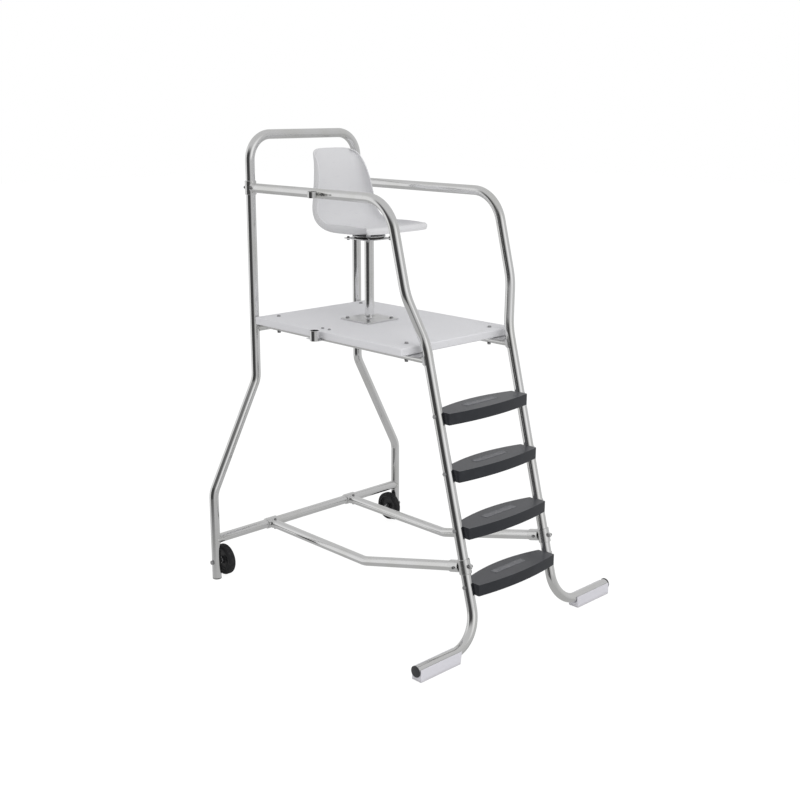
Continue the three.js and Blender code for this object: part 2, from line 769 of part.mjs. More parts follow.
// Seat shell. Each station gives, from the front lip to the top of the back, the middle of the shell and
// its rim: how far they lie in front of the swivel axis, how high above the bosses, and the half width.
const seatStationShares = [
  { middle: [1.0, 0.070], rim: [0.965, 0.085], width: 0.93 },
  { middle: [0.998, 0.108], rim: [0.97, 0.121], width: 0.962 },
  { middle: [0.94, 0.131], rim: [0.915, 0.147], width: 0.982 },
  { middle: [0.8, 0.118], rim: [0.8, 0.153], width: 0.991 },
  { middle: [0.56, 0.083], rim: [0.56, 0.158], width: 0.996 },
  { middle: [0.19, 0.046], rim: [0.235, 0.16], width: 1.0 },
  { middle: [-0.17, 0.031], rim: [-0.1, 0.155], width: 1.0 },
  { middle: [-0.447, 0.036], rim: [-0.275, 0.153], width: 1.0 },
  { middle: [-0.67, 0.075], rim: [-0.395, 0.179], width: 0.995 },
  { middle: [-0.818, 0.164], rim: [-0.495, 0.227], width: 0.986 },
  { middle: [-0.883, 0.297], rim: [-0.557, 0.307], width: 0.972 },
  { middle: [-0.911, 0.466], rim: [-0.579, 0.44], width: 0.912 },
  { middle: [-0.935, 0.659], rim: [-0.615, 0.634], width: 0.84 },
  { middle: [-0.962, 0.84], rim: [-0.683, 0.803], width: 0.772 },
  { middle: [-0.982, 0.94], rim: [-0.765, 0.905], width: 0.733 },
  { middle: [-0.992, 0.99], rim: [-0.825, 0.955], width: 0.7 },
  { middle: [-0.998, 1.016], rim: [-0.865, 0.988], width: 0.642 },
  { middle: [-1.0, 1.028], rim: [-0.895, 1.006], width: 0.55 },
];

// Shares ahead of the axis follow the seat's depth and those behind it the back's reach
function seatY(share) {
  return -pedestalSetback - share * (share > 0 ? seatDepth : seatBackReach);
}

function seatZ(share) {
  return seatBossBottom + share * seatHeight;
}

function shellSections() {
  return seatStationShares.map(({ middle, rim, width }) => {
    const section = [];
    for (let column = 0; column <= seatColumns; column += 1) {
      const angle = Math.PI * column / seatColumns;
      const across = Math.sign(Math.cos(angle)) * Math.abs(Math.cos(angle)) ** (2 / seatRimPower);
      const towardsRim = 1 - Math.sin(angle) ** (2 / seatRimPower);
      section.push(vector(
        -across * width * seatPanHalfWidth,
        THREE.MathUtils.lerp(seatY(middle[0]), seatY(rim[0]), towardsRim),
        THREE.MathUtils.lerp(seatZ(middle[1]), seatZ(rim[1]), towardsRim),
      ));
    }
    return section;
  });
}

function seatShell() {
  const inner = shellSections();
  const rows = inner.length;
  const columns = inner[0].length;
  const outer = inner.map((section, row) => section.map((place, column) => {
    const above = inner[Math.min(row + 1, rows - 1)][column];
    const below = inner[Math.max(row - 1, 0)][column];
    const along = new THREE.Vector3().subVectors(above, below);
    const right = section[Math.min(column + 1, columns - 1)];
    const left = section[Math.max(column - 1, 0)];
    const across = new THREE.Vector3().subVectors(right, left);
    const outward = along.cross(across).normalize();
    return place.clone().addScaledVector(outward, seatShellThickness);
  }));
  const positions = [];
  const indices = [];
  for (const layer of [inner, outer]) {
    for (const section of layer) {
      section.forEach((place) => positions.push(place.x, place.y, place.z));
    }
  }
  const at = (layer, row, column) => (layer * rows + row) * columns + column;
  const quad = (a, b, c, d) => indices.push(a, b, c, a, c, d);
  for (let row = 0; row < rows - 1; row += 1) {
    for (let column = 0; column < columns - 1; column += 1) {
      quad(at(0, row, column), at(0, row, column + 1), at(0, row + 1, column + 1), at(0, row + 1, column));
      quad(at(1, row, column), at(1, row + 1, column), at(1, row + 1, column + 1), at(1, row, column + 1));
    }
    quad(at(0, row, 0), at(0, row + 1, 0), at(1, row + 1, 0), at(1, row, 0));
    const end = columns - 1;
    quad(at(0, row, end), at(1, row, end), at(1, row + 1, end), at(0, row + 1, end));
  }
  for (let column = 0; column < columns - 1; column += 1) {
    quad(at(0, 0, column), at(1, 0, column), at(1, 0, column + 1), at(0, 0, column + 1));
    const top = rows - 1;
    quad(at(0, top, column), at(0, top, column + 1), at(1, top, column + 1), at(1, top, column));
  }
  const geometry = new THREE.BufferGeometry();
  geometry.setAttribute('position', new THREE.Float32BufferAttribute(positions, 3));
  geometry.setIndex(indices);
  return geometry;
}

// Height of the shell's middle line at a place along the pan
function panHeight(y) {
  for (let index = 1; index < seatStationShares.length; index += 1) {
    const ahead = seatStationShares[index - 1].middle;
    const behind = seatStationShares[index].middle;
    if (y <= seatY(behind[0])) {
      const share = (y - seatY(ahead[0])) / (seatY(behind[0]) - seatY(ahead[0]));
      return THREE.MathUtils.lerp(seatZ(ahead[1]), seatZ(behind[1]), share);
    }
  }
  return seatZ(1);
}
const seatBosses = [];
for (const [, side] of sides) {
  for (const end of [-1, 1]) {
    const x = side * seatBossSpacing / 2;
    const y = -pedestalSetback + end * seatBossSpacing / 2;
    seatBosses.push(rod(
      vector(x, y, seatBossBottom),
      vector(x, y, panHeight(y) - seatShellThickness / 2),
      seatBossRadius,
      holeSides,
    ));
  }
}
addPiece('seat_shell', join([seatShell(), ...seatBosses]), 'seat');

// Ladder treads: bowed front and rear, ribbed below, notched round the rails.
// The outline is drawn about the rails' line, set in all round by a wall for the pockets.
function treadOutline(inset) {
  const halfWidth = treadHalfWidth - inset;
  const points = [];
  for (let index = 0; index <= treadBowSteps; index += 1) {
    const share = 2 * index / treadBowSteps - 1;
    const bow = treadFrontBow * (1 - share * share);
    points.push(flatPoint(share * halfWidth, inset - treadFrontReach - bow));
  }
  for (let index = 0; index <= treadBowSteps; index += 1) {
    const share = 1 - 2 * index / treadBowSteps;
    const bow = treadRearBow * (1 - share * share);
    points.push(flatPoint(share * halfWidth, treadRearReach + bow - inset));
  }
  return points;
}

for (let index = 0; index < treadCount; index += 1) {
  const top = treadTop(index);
  const bottom = top - treadHeight;
  const railLine = railY(top);
  const body = plate(treadOutline(0), bottom, top).translate(0, railLine, 0);
  const panel = block(
    vector(-treadPanelHalfLength, railLine - treadPanelHalfWidth, top - treadWall),
    vector(treadPanelHalfLength, railLine + treadPanelHalfWidth, top + treadPanelHeight),
  );
  const tools = [];
  for (const [, side] of sides) {
    const lowRail = vector(side * ladderHalfWidth, railY(bottom), bottom);
    const highRail = vector(side * ladderHalfWidth, railY(top), top);
    tools.push(bore(lowRail, highRail, tubeRadius, tubeSides));
    const besideRail = side * (ladderHalfWidth - tubeRadius - fitGap);
    const pastEnd = side * (treadHalfWidth + cutOverrun);
    tools.push(block(
      vector(Math.min(besideRail, pastEnd), railY(bottom), bottom - cutOverrun),
      vector(Math.max(besideRail, pastEnd), railLine + treadRearReach + cutOverrun, top + cutOverrun),
    ));
    const { head, end } = treadBoltLine(side, index);
    const boltEnd = vector(end.x - side * fitGap, end.y, end.z);
    tools.push(rod(head, boltEnd, treadBoltSize / 2 + fitGap, shankSides, true));
  }
  const pocketEnd = ladderHalfWidth - tubeRadius - 2 * treadWall;
  const pocketTop = top - treadTopThickness;
  const pocketFront = railLine - treadFrontReach - treadFrontBow;
  const pocketRear = railLine + treadRearReach + treadRearBow;
  const acrossTread = (left, right) => block(
    vector(left, pocketFront, bottom - 2 * cutOverrun),
    vector(right, pocketRear, pocketTop + cutOverrun),
  );
  const ribs = [
    acrossTread(-treadHalfWidth - cutOverrun, -pocketEnd),
    acrossTread(pocketEnd, treadHalfWidth + cutOverrun),
  ];
  for (let rib = 1; rib <= treadRibCount; rib += 1) {
    const middle = pocketEnd * (2 * rib / (treadRibCount + 1) - 1);
    ribs.push(acrossTread(middle - treadWall / 2, middle + treadWall / 2));
  }
  const hollow = plate(treadOutline(treadWall), bottom - cutOverrun, pocketTop).translate(0, railLine, 0);
  tools.push(cut(hollow, ribs));
  addPiece(`tread_${index + 1}`, cut(join([body, panel]), tools), 'tread');
}

// Tread bolts come from outside the rail, through it and into the tread's end
for (const [sideName, side] of sides) {
  const outward = vector(side, 0, 0);
  for (let index = 0; index < treadCount; index += 1) {
    const { head, end } = treadBoltLine(side, index);
    const bolt = join([
      hexHead(head, outward, treadBoltSize * headWidthShare, treadBoltSize * headHeightShare),
      rod(head.clone().addScaledVector(outward, fitGap), end, treadBoltSize / 2, shankSides),
    ]);
    addPiece(`${sideName}_tread_bolt_${index + 1}`, bolt, 'fastener');
  }
}

// Front skids: a cradle under each foot tube, its inner end cut back towards the deck
for (const [sideName, side] of sides) {
  const halfWidth = tubeRadius + fitGap + skidWall;
  const innerEnd = side * skidInnerEnd;
  const outerEnd = side * (skidInnerEnd + skidLength);
  const cradle = plate([
    flatPoint(innerEnd + side * skidEndSlant, 0),
    flatPoint(innerEnd, skidHeight),
    flatPoint(outerEnd, skidHeight),
    flatPoint(outerEnd, 0),
  ], -halfWidth, halfWidth).rotateX(Math.PI / 2).translate(0, footY, 0);
  const slot = block(
    vector(Math.min(innerEnd, outerEnd) - cutOverrun, footY - tubeRadius - fitGap, footTubeHeight),
    vector(Math.max(innerEnd, outerEnd) + cutOverrun, footY + tubeRadius + fitGap, skidHeight + cutOverrun),
  );
  addPiece(`${sideName}_skid`, cut(cradle, [bentRoom(railCorners(side), railRadii), slot]), 'skid');
}

// A hollow plug for a tube end: a flange against the end and a stem inside the bore
function tubePlug(flangeRadius, flange) {
  const profile = [
    flatPoint(0, 0),
    flatPoint(flangeRadius, 0),
    flatPoint(flangeRadius, flange),
    flatPoint(spigotRadius, flange),
    flatPoint(spigotRadius, flange + plugStem),
    flatPoint(spigotRadius - plugWall, flange + plugStem),
    flatPoint(spigotRadius - plugWall, flange),
    flatPoint(0, flange),
  ];
  return new THREE.LatheGeometry(profile, boreSides);
}
for (const [sideName, side] of sides) {
  const footEnd = side * (footHalfSpan + fitGap + plugFlange);
  const footPlug = tubePlug(footPlugDiameter / 2, plugFlange).rotateZ(side * Math.PI / 2);
  addPiece(`${sideName}_foot_plug`, footPlug.translate(footEnd, footY, footTubeHeight), 'plug');
  const tip = tubePlug(tubeRadius, tipThickness - fitGap).rotateX(Math.PI / 2);
  addPiece(`${sideName}_leg_tip`, tip.translate(side * rearLegHalfWidth, 0, 0), 'plug');
}

// Wheels: a solid tyre on a hub with holes in its web, turning on a bolt through the leg
const hubRadius = wheelRadius - tyreThickness;
const wheelOffset = rearLegHalfWidth - tubeRadius - wheelSideRoom - wheelWidth / 2;
const halfWheel = wheelWidth / 2;
function tyreShape() {
  const inner = hubRadius + fitGap;
  return new THREE.LatheGeometry([
    flatPoint(inner, -halfWheel),
    flatPoint(wheelRadius - tyreShoulder, -halfWheel),
    flatPoint(wheelRadius - tyreShoulder / 3, -halfWheel + tyreShoulder / 3),
    flatPoint(wheelRadius, -halfWheel + tyreShoulder),
    flatPoint(wheelRadius, halfWheel - tyreShoulder),
    flatPoint(wheelRadius - tyreShoulder / 3, halfWheel - tyreShoulder / 3),
    flatPoint(wheelRadius - tyreShoulder, halfWheel),
    flatPoint(inner, halfWheel),
    flatPoint(inner, -halfWheel),
  ], wheelSides);
}
function hubShape() {
  const boreRadius = axleRadius + fitGap;
  const halfWeb = hubWebThickness / 2;
  const rimInner = hubRadius - hubRimThickness;
  const profile = new THREE.LatheGeometry([
    flatPoint(boreRadius, -halfWheel),
    flatPoint(hubBossRadius, -halfWheel),
    flatPoint(hubBossRadius, -halfWeb),
    flatPoint(rimInner, -halfWeb),
    flatPoint(rimInner, -halfWheel),
    flatPoint(hubRadius, -halfWheel),
    flatPoint(hubRadius, halfWheel),
    flatPoint(rimInner, halfWheel),
    flatPoint(rimInner, halfWeb),
    flatPoint(hubBossRadius, halfWeb),
    flatPoint(hubBossRadius, halfWheel),
    flatPoint(boreRadius, halfWheel),
    flatPoint(boreRadius, -halfWheel),
  ], wheelSides);
  const holes = [];
  const holeCircle = (hubBossRadius + rimInner) / 2;
  for (let index = 0; index < hubHoleCount; index += 1) {
    const angle = 2 * Math.PI * index / hubHoleCount;
    const x = holeCircle * Math.cos(angle);
    const z = holeCircle * Math.sin(angle);
    const start = vector(x, -hubWebThickness, z);
    const end = vector(x, hubWebThickness, z);
    holes.push(rod(start, end, hubHoleRadius, holeSides));
  }
  return cut(profile, holes);
}
for (const [sideName, side] of sides) {
  const x = side * wheelOffset;
  const tyre = tyreShape().rotateZ(Math.PI / 2).translate(x, 0, wheelHeight);
  addPiece(`${sideName}_tyre`, tyre, 'tyre');
  addPiece(`${sideName}_hub`, hubShape().rotateZ(Math.PI / 2).translate(x, 0, wheelHeight), 'hub');
  const outerFace = side * (rearLegHalfWidth + tubeRadius + fitGap);
  const innerFace = side * (wheelOffset - halfWheel - fitGap);
  const legFace = side * (rearLegHalfWidth - tubeRadius - fitGap);
  const outward = vector(side, 0, 0);
  const inward = vector(-side, 0, 0);
  const spacerEnd = vector(side * (wheelOffset + halfWheel + fitGap), 0, wheelHeight);
  const axleEnd = vector(innerFace - side * axleSize, 0, wheelHeight);
  const headWidth = axleSize * headWidthShare;
  const axle = join([
    hexHead(vector(outerFace, 0, wheelHeight), outward, headWidth, axleSize * headHeightShare),
    rod(vector(outerFace + side * fitGap, 0, wheelHeight), axleEnd, axleRadius),
    rod(vector(legFace, 0, wheelHeight), spacerEnd, axleSize),
    hexHead(vector(innerFace, 0, wheelHeight), inward, headWidth, axleSize * nutHeightShare),
  ]);
  addPiece(`${sideName}_axle_bolt`, axle, 'fastener');
}

// Upper pole holder: a ring with a tab screwed to the left handrail
const socketBore = poleSocketOuter - poleSocketWall;
const upperHolderLow = handrailHeight - upperHolderHeight / 2;
const upperHolderHigh = handrailHeight + upperHolderHeight / 2;
const tabInnerX = -upperHalfWidth - tubeRadius - fitGap;
const tabOuterX = tabInnerX - upperHolderTabThickness;
const tabHalf = upperHolderTabHeight / 2;
const tabEndHalf = upperHolderTabEndHeight / 2;
const upperTab = plate([
  flatPoint(0, -tabHalf),
  flatPoint(0, tabHalf),
  flatPoint(-upperHolderTabLength, tabEndHalf),
  flatPoint(-upperHolderTabLength, -tabEndHalf),
], 0, upperHolderTabThickness);
upperTab.rotateX(Math.PI / 2).rotateZ(Math.PI / 2).translate(tabOuterX, -poleSetback, handrailHeight);
const upperArm = block(
  vector(holderX, -poleSetback - poleSocketWall, handrailHeight - tabHalf),
  vector(tabInnerX, -poleSetback + poleSocketWall, handrailHeight + tabHalf),
);
const upperRing = rod(
  vector(holderX, -poleSetback, upperHolderLow),
  vector(holderX, -poleSetback, upperHolderHigh),
  poleSocketOuter,
  tubeSides,
);
const upperScrews = upperHolderScrewShares.map((share) => hexHead(
  vector(tabOuterX + fitGap, -poleSetback - share * upperHolderTabLength, handrailHeight),
  vector(-1, 0, 0),
  upperHolderScrewWidth,
  upperHolderScrewHeight,
));
addPiece('pole_holder_upper', cut(join([upperRing, upperTab, upperArm, ...upperScrews]), [bore(
  vector(holderX, -poleSetback, upperHolderLow),
  vector(holderX, -poleSetback, upperHolderHigh),
  socketBore - fitGap,
)]), 'fitting');

// Lower pole holder: a cup on a plate bolted up through the platform
const lowerPlate = block(
  vector(holderX, holderPlateY - lowerHolderPlateWidth / 2, lowerPlateBottom),
  vector(holderPlateEnd, holderPlateY + lowerHolderPlateWidth / 2, lowerPlateTop),
);
const lowerCup = rod(
  vector(holderX, -poleSetback, lowerPlateBottom),
  vector(holderX, -poleSetback, lowerPlateBottom + lowerHolderHeight),
  poleSocketOuter,
  tubeSides,
);
const lowerPlateHoles = holderBolts.map(([, x, y]) => bore(
  vector(x, y, lowerPlateBottom),
  vector(x, y, lowerPlateTop),
  lowerHolderBoltSize / 2,
  holeSides,
));
const cupRoom = rod(
  vector(holderX, -poleSetback, lowerPlateTop),
  vector(holderX, -poleSetback, lowerPlateTop + lowerHolderHeight + cutOverrun),
  socketBore,
);
addPiece('pole_holder_lower', cut(join([lowerPlate, lowerCup]), [cupRoom, ...lowerPlateHoles]), 'fitting');

// The origin is on the deck under the middle of the whole chair
const frontReach = footY - tubeRadius - fitGap - skidWall;
chair.position.y = -(frontReach + wheelRadius) / 2;

const model = new THREE.Group();
model.add(chair);

export default model;
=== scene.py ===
from math import asin, cos, pi, radians, sin, sqrt, tan

import bmesh
import bpy
from mathutils import Matrix, Vector


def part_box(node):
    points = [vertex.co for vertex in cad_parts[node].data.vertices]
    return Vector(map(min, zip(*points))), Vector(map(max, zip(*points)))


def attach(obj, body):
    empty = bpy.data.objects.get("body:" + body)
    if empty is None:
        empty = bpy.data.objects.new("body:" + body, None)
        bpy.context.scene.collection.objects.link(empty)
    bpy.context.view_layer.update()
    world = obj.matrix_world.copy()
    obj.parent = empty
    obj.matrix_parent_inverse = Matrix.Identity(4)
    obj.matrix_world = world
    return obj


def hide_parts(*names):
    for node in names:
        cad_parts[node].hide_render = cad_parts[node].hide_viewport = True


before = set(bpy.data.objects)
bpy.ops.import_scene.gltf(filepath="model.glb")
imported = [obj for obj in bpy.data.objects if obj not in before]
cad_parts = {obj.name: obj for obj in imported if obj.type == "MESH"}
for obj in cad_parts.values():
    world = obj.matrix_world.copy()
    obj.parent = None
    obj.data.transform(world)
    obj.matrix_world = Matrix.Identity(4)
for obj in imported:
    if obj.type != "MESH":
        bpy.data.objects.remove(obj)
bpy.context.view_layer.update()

# Photograph stand: a pale floor, soft light from the whole room and a lamp above the ladder side.
# Polished tube mirrors a bright room, and gets its dark stripe from a flag beside the camera
# and its bright one from a window next to the flag.
camera_spot = Vector((-3.9643, -4.0755, 2.4935))
camera_azimuth = radians(-44.058)
camera_lift = radians(14.582)
camera_roll = radians(0.125)
photo_side = 800
focal_pixels = 1149
sensor_width = 36
floor_half = 30
floor_height = -0.0005
lamp_spot = Vector((-1.6, -6.0, 6.0))
lamp_side = 5
lamp_power = 170
room_light = 0.86
floor_paint_tone = (0.8, 0.8, 0.8, 1)
floor_glow = 0.93
floor_shade = (0.13, 0.13, 0.13, 1)
white = (1, 1, 1, 1)


class Socket:
    """A socket in a node tree; sums and products of sockets add Math nodes."""

    def __init__(self, tree, link=None):
        self.tree = tree
        self.link = link

    def node(self, kind, settings=None, sockets=None, output=0):
        made = self.tree.nodes.new(kind)
        for name, value in (settings or {}).items():
            if name == "stops":
                stops = made.color_ramp.elements
                while len(stops) < len(value):
                    stops.new(0.5)
                for stop, (place, tone) in zip(stops, value):
                    stop.position = place
                    stop.color = (tone, tone, tone, 1)
            else:
                setattr(made, name, value)
        for name, value in (sockets or {}).items():
            if isinstance(value, Socket):
                self.tree.links.new(value.link, made.inputs[name])
            else:
                made.inputs[name].default_value = value
        return Socket(self.tree, made.outputs[output])

    def maths(self, operation, first, second):
        return self.node("ShaderNodeMath", {"operation": operation}, {0: first, 1: second})

    def __add__(self, other):
        return self.maths("ADD", self, other)

    def __radd__(self, other):
        return self.maths("ADD", other, self)

    def __sub__(self, other):
        return self.maths("SUBTRACT", self, other)

    def __rsub__(self, other):
        return self.maths("SUBTRACT", other, self)

    def __mul__(self, other):
        return self.maths("MULTIPLY", self, other)

    def __rmul__(self, other):
        return self.maths("MULTIPLY", other, self)

    def between(self, low, high):
        """0 below the low value, 1 above the high one, and smooth between them."""
        settings = {"interpolation_type": "SMOOTHSTEP"}
        return self.node("ShaderNodeMapRange", settings, {0: self, 1: low, 2: high})

    def blend(self, low, high):
        """The low colour where this is 0 and the high one where it is 1."""
        sockets = {0: self, 6: low, 7: high}
        return self.node("ShaderNodeMix", {"data_type": "RGBA"}, sockets, output=2)

    def along(self, direction):
        settings = {"operation": "DOT_PRODUCT"}
        return self.node("ShaderNodeVectorMath", settings, {0: self, 1: direction}, output=1)

    def stretched(self, scale):
        settings = {"operation": "MULTIPLY"}
        return self.node("ShaderNodeVectorMath", settings, {0: self, 1: scale})

    def noise(self, scale, detail, roughness=0.5):
        sockets = {"Vector": self, "Scale": scale, "Detail": detail, "Roughness": roughness}
        return self.node("ShaderNodeTexNoise", None, sockets)

    def feed(self, target):
        self.tree.links.new(self.link, target)


scene = bpy.context.scene
camera = bpy.data.objects.new("camera", bpy.data.cameras.new("camera"))
camera.data.sensor_width = sensor_width
camera.data.lens = focal_pixels / photo_side * sensor_width
level_back = Vector((sin(camera_azimuth), -cos(camera_azimuth), 0))
level_right = Vector((cos(camera_azimuth), sin(camera_azimuth), 0))
camera_back = level_back * cos(camera_lift) + Vector((0, 0, sin(camera_lift)))
camera_turn = Matrix((level_right, camera_back.cross(level_right), camera_back)).transposed()
camera_turn = camera_turn @ Matrix.Rotation(camera_roll, 3, "Z")
camera.matrix_world = Matrix.Translation(camera_spot) @ camera_turn.to_4x4()
scene.collection.objects.link(camera)
scene.camera = camera
scene.view_settings.view_transform = "Standard"

floor_mesh = bpy.data.meshes.new("floor")
corners = [
    (x * floor_half, y * floor_half, floor_height)
    for x, y in ((-1, -1), (1, -1), (1, 1), (-1, 1))
]
floor_mesh.from_pydata(corners, [], [(0, 1, 2, 3)])
floor = bpy.data.objects.new("floor", floor_mesh)
floor.visible_glossy = False
scene.collection.objects.link(floor)
floor_paint = bpy.data.materials.new("floor_paint")
floor_paint.use_nodes = True
floor_paint.node_tree.nodes.clear()
start = Socket(floor_paint.node_tree)
seen = start.node("ShaderNodeLightPath", output="Is Camera Ray")
matt = start.node("ShaderNodeBsdfDiffuse", None, {"Color": floor_paint_tone})
shade = start.node("ShaderNodeBsdfDiffuse", None, {"Color": floor_shade})
glow = start.node("ShaderNodeEmission", None, {"Color": white, "Strength": floor_glow})
pale = start.node("ShaderNodeAddShader", None, {0: shade, 1: glow})
start.node("ShaderNodeMixShader", None, {0: seen, 1: matt, 2: pale}).feed(
    floor_paint.node_tree.nodes.new("ShaderNodeOutputMaterial").inputs["Surface"])
floor_mesh.materials.append(floor_paint)

# What polished metal mirrors, by the turn from straight behind the chair (0) past the camera (0.5)
# and on round to behind it again; above it is the even ceiling, and below it the even low part
room_round = [
    (0.0, 0.6), (0.1, 0.55), (0.18, 0.78), (0.26, 0.8), (0.29, 0.06), (0.465, 0.05), (0.51, 0.38),
    (0.55, 0.55), (0.6, 0.5), (0.7, 0.52), (0.8, 0.6), (0.92, 0.56), (1.0, 0.62),
]
room_ceiling = (0.58, 0.58, 0.58, 1)
room_low = (0.46, 0.46, 0.46, 1)
room_window = (0.9, 0.9, 0.9, 1)
window_left = (0.53, 0.58)
window_right = (0.65, 0.71)
window_sill = (-0.04, 0.05)
ceiling_start = (0.3, 0.75)
low_start = (0.27, 0.4)
world = bpy.data.worlds.new("room")
scene.world = world
world.use_nodes = True
world.node_tree.nodes.clear()
start = Socket(world.node_tree)
looking = start.node("ShaderNodeTexCoord", output="Generated")
turn = start.maths("ARCTAN2", looking.along(level_right), looking.along(level_back))
share = turn * (1 / (2 * pi)) + 0.5
round_tone = start.node("ShaderNodeValToRGB", {"stops": room_round}, {0: share})
height = looking.along((0, 0, 1))
window = share.between(*window_left) * (1 - share.between(*window_right)) * height.between(*window_sill)
lit = height.between(*ceiling_start).blend(window.blend(round_tone, room_window), room_ceiling)
lit = (0 - height).between(*low_start).blend(lit, room_low)
shown = start.node("ShaderNodeBackground", None, {"Color": white, "Strength": room_light})
for ray, colour in (("Is Glossy Ray", lit), ("Is Camera Ray", white)):
    special = start.node("ShaderNodeBackground", None, {"Color": colour, "Strength": 1.0})
    by_ray = {0: start.node("ShaderNodeLightPath", output=ray), 1: shown, 2: special}
    shown = start.node("ShaderNodeMixShader", None, by_ray)
shown.feed(world.node_tree.nodes.new("ShaderNodeOutputWorld").inputs["Surface"])

lamp = bpy.data.objects.new("lamp", bpy.data.lights.new("lamp", "AREA"))
lamp.data.size = lamp_side
lamp.data.energy = lamp_power
lamp.location = lamp_spot
lamp.rotation_euler = lamp_spot.to_track_quat("Z", "Y").to_euler()
lamp.visible_glossy = False
scene.collection.objects.link(lamp)

# Rear hoop: the two splayed legs and the top bar, bent from one stainless tube.
# It stands on tips in its own ends; the rails, crossbar and platform are fixed to it.
# It is drawn in millimetres about its own plane, then set where the frame stands.
millimetre = 0.001
hoop_plane = sum(corner.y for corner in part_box("rear_hoop")) / 2
tube_radius = 24.15
tube_wall = 2.8
tube_sides = 48
bend_step = radians(5)
crease_angle = radians(35)
edge_steps = 3
small_sides = 24
hoop_height = 2328
hoop_corner = 130
upper_half = 363
leg_half = 665
splay_top = 1060
splay_foot = 484
splay_bend = 120
tip_thickness = 6
hexagon_profile = [(0, 1), (0.82, 1), (1, 0.9)]
x_way = Vector((1, 0, 0))
y_way = Vector((0, 1, 0))
z_way = Vector((0, 0, 1))
both_sides = (("left", -1), ("right", 1))


class Form:
    """A mesh in millimetres, skinned over rings of points."""

    def __init__(self):
        self.mesh = bmesh.new()

    def skin(self, rings, closed=False):
        """Joins each ring to the next; closed joins the last to the first, and otherwise both are capped."""
        rows = [[self.mesh.verts.new(point) for point in ring] for ring in rings]
        pairs = list(zip(rows, rows[1:]))
        if closed:
            pairs.append((rows[-1], rows[0]))
        else:
            self.mesh.faces.new(rows[0])
            self.mesh.faces.new(rows[-1])
        for low, high in pairs:
            for index, corner in enumerate(low):
                self.mesh.faces.new((low[index - 1], corner, high[index], high[index - 1]))
        return self

    def turned(self, start, heading, profile, sides=32, closed=False):
        """Turns a profile of (distance, radius) round a line."""
        heading = Vector(heading).normalized()
        across = heading.orthogonal().normalized()
        rings = []
        for distance, radius in profile:
            middle = Vector(start) + heading * distance
            rings.append(circle(middle, across, heading.cross(across), radius, sides))
        return self.skin(rings, closed)

    def prism(self, outline, bottom, top):
        """A flat outline raised from one height to another."""
        return self.skin([[(x, y, z) for x, y in outline] for z in (bottom, top)])

    def block(self, low, high, rounding):
        """A box between two corners, with its edges rounded."""
        made = bmesh.ops.create_cube(self.mesh, size=1)["verts"]
        low, high = Vector(low), Vector(high)
        for corner in made:
            corner.co = (low + high) / 2 + Vector(share * span for share, span in zip(corner.co, high - low))
        edges = list(dict.fromkeys(edge for corner in made for edge in corner.link_edges))
        bmesh.ops.bevel(
            self.mesh, geom=edges, offset=rounding, segments=edge_steps, affect="EDGES", profile=0.5)
        return self

    def hexagon(self, point, heading, width, height):
        """A head or nut that stands on a point, with its top corners turned off."""
        radius = width / sqrt(3)
        profile = [(height * rise, radius * share) for rise, share in hexagon_profile]
        return self.turned(point, heading, profile, 6)

    def placed(self, name):
        """The form as an object in metres, where the frame stands."""
        bmesh.ops.recalc_face_normals(self.mesh, faces=self.mesh.faces)
        self.mesh.transform(Matrix.Translation((0, hoop_plane, 0)) @ Matrix.Scale(millimetre, 4))
        shape = bpy.data.meshes.new(name)
        self.mesh.to_mesh(shape)
        self.mesh.free()
        made = bpy.data.objects.new(name, shape)
        scene.collection.objects.link(made)
        return made


def even(start, end, steps):
    """Values at even steps from the start to the end, with both."""
    return [start + (end - start) * step / steps for step in range(steps + 1)]


def circle(centre, across, upward, radius, sides):
    """The points of a ring, round from the first direction towards the second."""
    angles = even(0, 2 * pi, sides)[:-1]
    return [centre + (across * cos(angle) + upward * sin(angle)) * radius for angle in angles]


def centre_line(corners, radii):
    """Points and headings along straight runs joined by arcs."""
    corners = [Vector(corner) for corner in corners]
    headings = [(after - before).normalized() for before, after in zip(corners, corners[1:])]
    stations = [(corners[0], headings[0])]
    for corner, before, after, radius in zip(corners[1:], headings, headings[1:], radii):
        turn = before.angle(after)
        inward = (after - before * before.dot(after)).normalized()
        start = corner - before * radius * tan(turn / 2)
        for angle in even(0, turn, max(2, round(turn / bend_step))):
            point = start + before * radius * sin(angle) + inward * radius * (1 - cos(angle))
            stations.append((point, before * cos(angle) + inward * sin(angle)))
    stations.append((corners[-1], headings[-1]))
    return stations


def tube(corners, radii=()):
    """A hollow tube along a bent centre line."""
    rings = []
    bores = []
    across = None
    for point, heading in centre_line(corners, radii):
        if across is None:
            across = heading.orthogonal()
        across = (across - heading * across.dot(heading)).normalized()
        upward = heading.cross(across)
        rings.append(circle(point, across, upward, tube_radius, tube_sides))
        bores.append(circle(point, across, upward, tube_radius - tube_wall, tube_sides))
    return Form().skin(rings + bores[::-1], closed=True)


def fit(name, form, finish, node, body="frame", rounding=0.0):
    """Makes the form a piece of the chair, in place of a node of the frame."""
    piece = form.placed(name)
    piece.data.shade_smooth()
    piece.data.set_sharp_from_angle(angle=crease_angle)
    piece.data.materials.append(finish)
    if rounding:
        add_edge(piece, rounding)
    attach(piece, body)
    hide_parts(node)
    return piece


def fit_tube(name, form, node):
    fit(name, form, polished_steel, node)


def add_edge(piece, rounding, sharper_than=crease_angle, harden=True):
    """Rounds a piece's sharp edges by some millimetres."""
    edge = piece.modifiers.new("edge", "BEVEL")
    edge.width = rounding * millimetre
    edge.segments = edge_steps
    edge.limit_method = "ANGLE"
    edge.angle_limit = sharper_than
    edge.harden_normals = harden


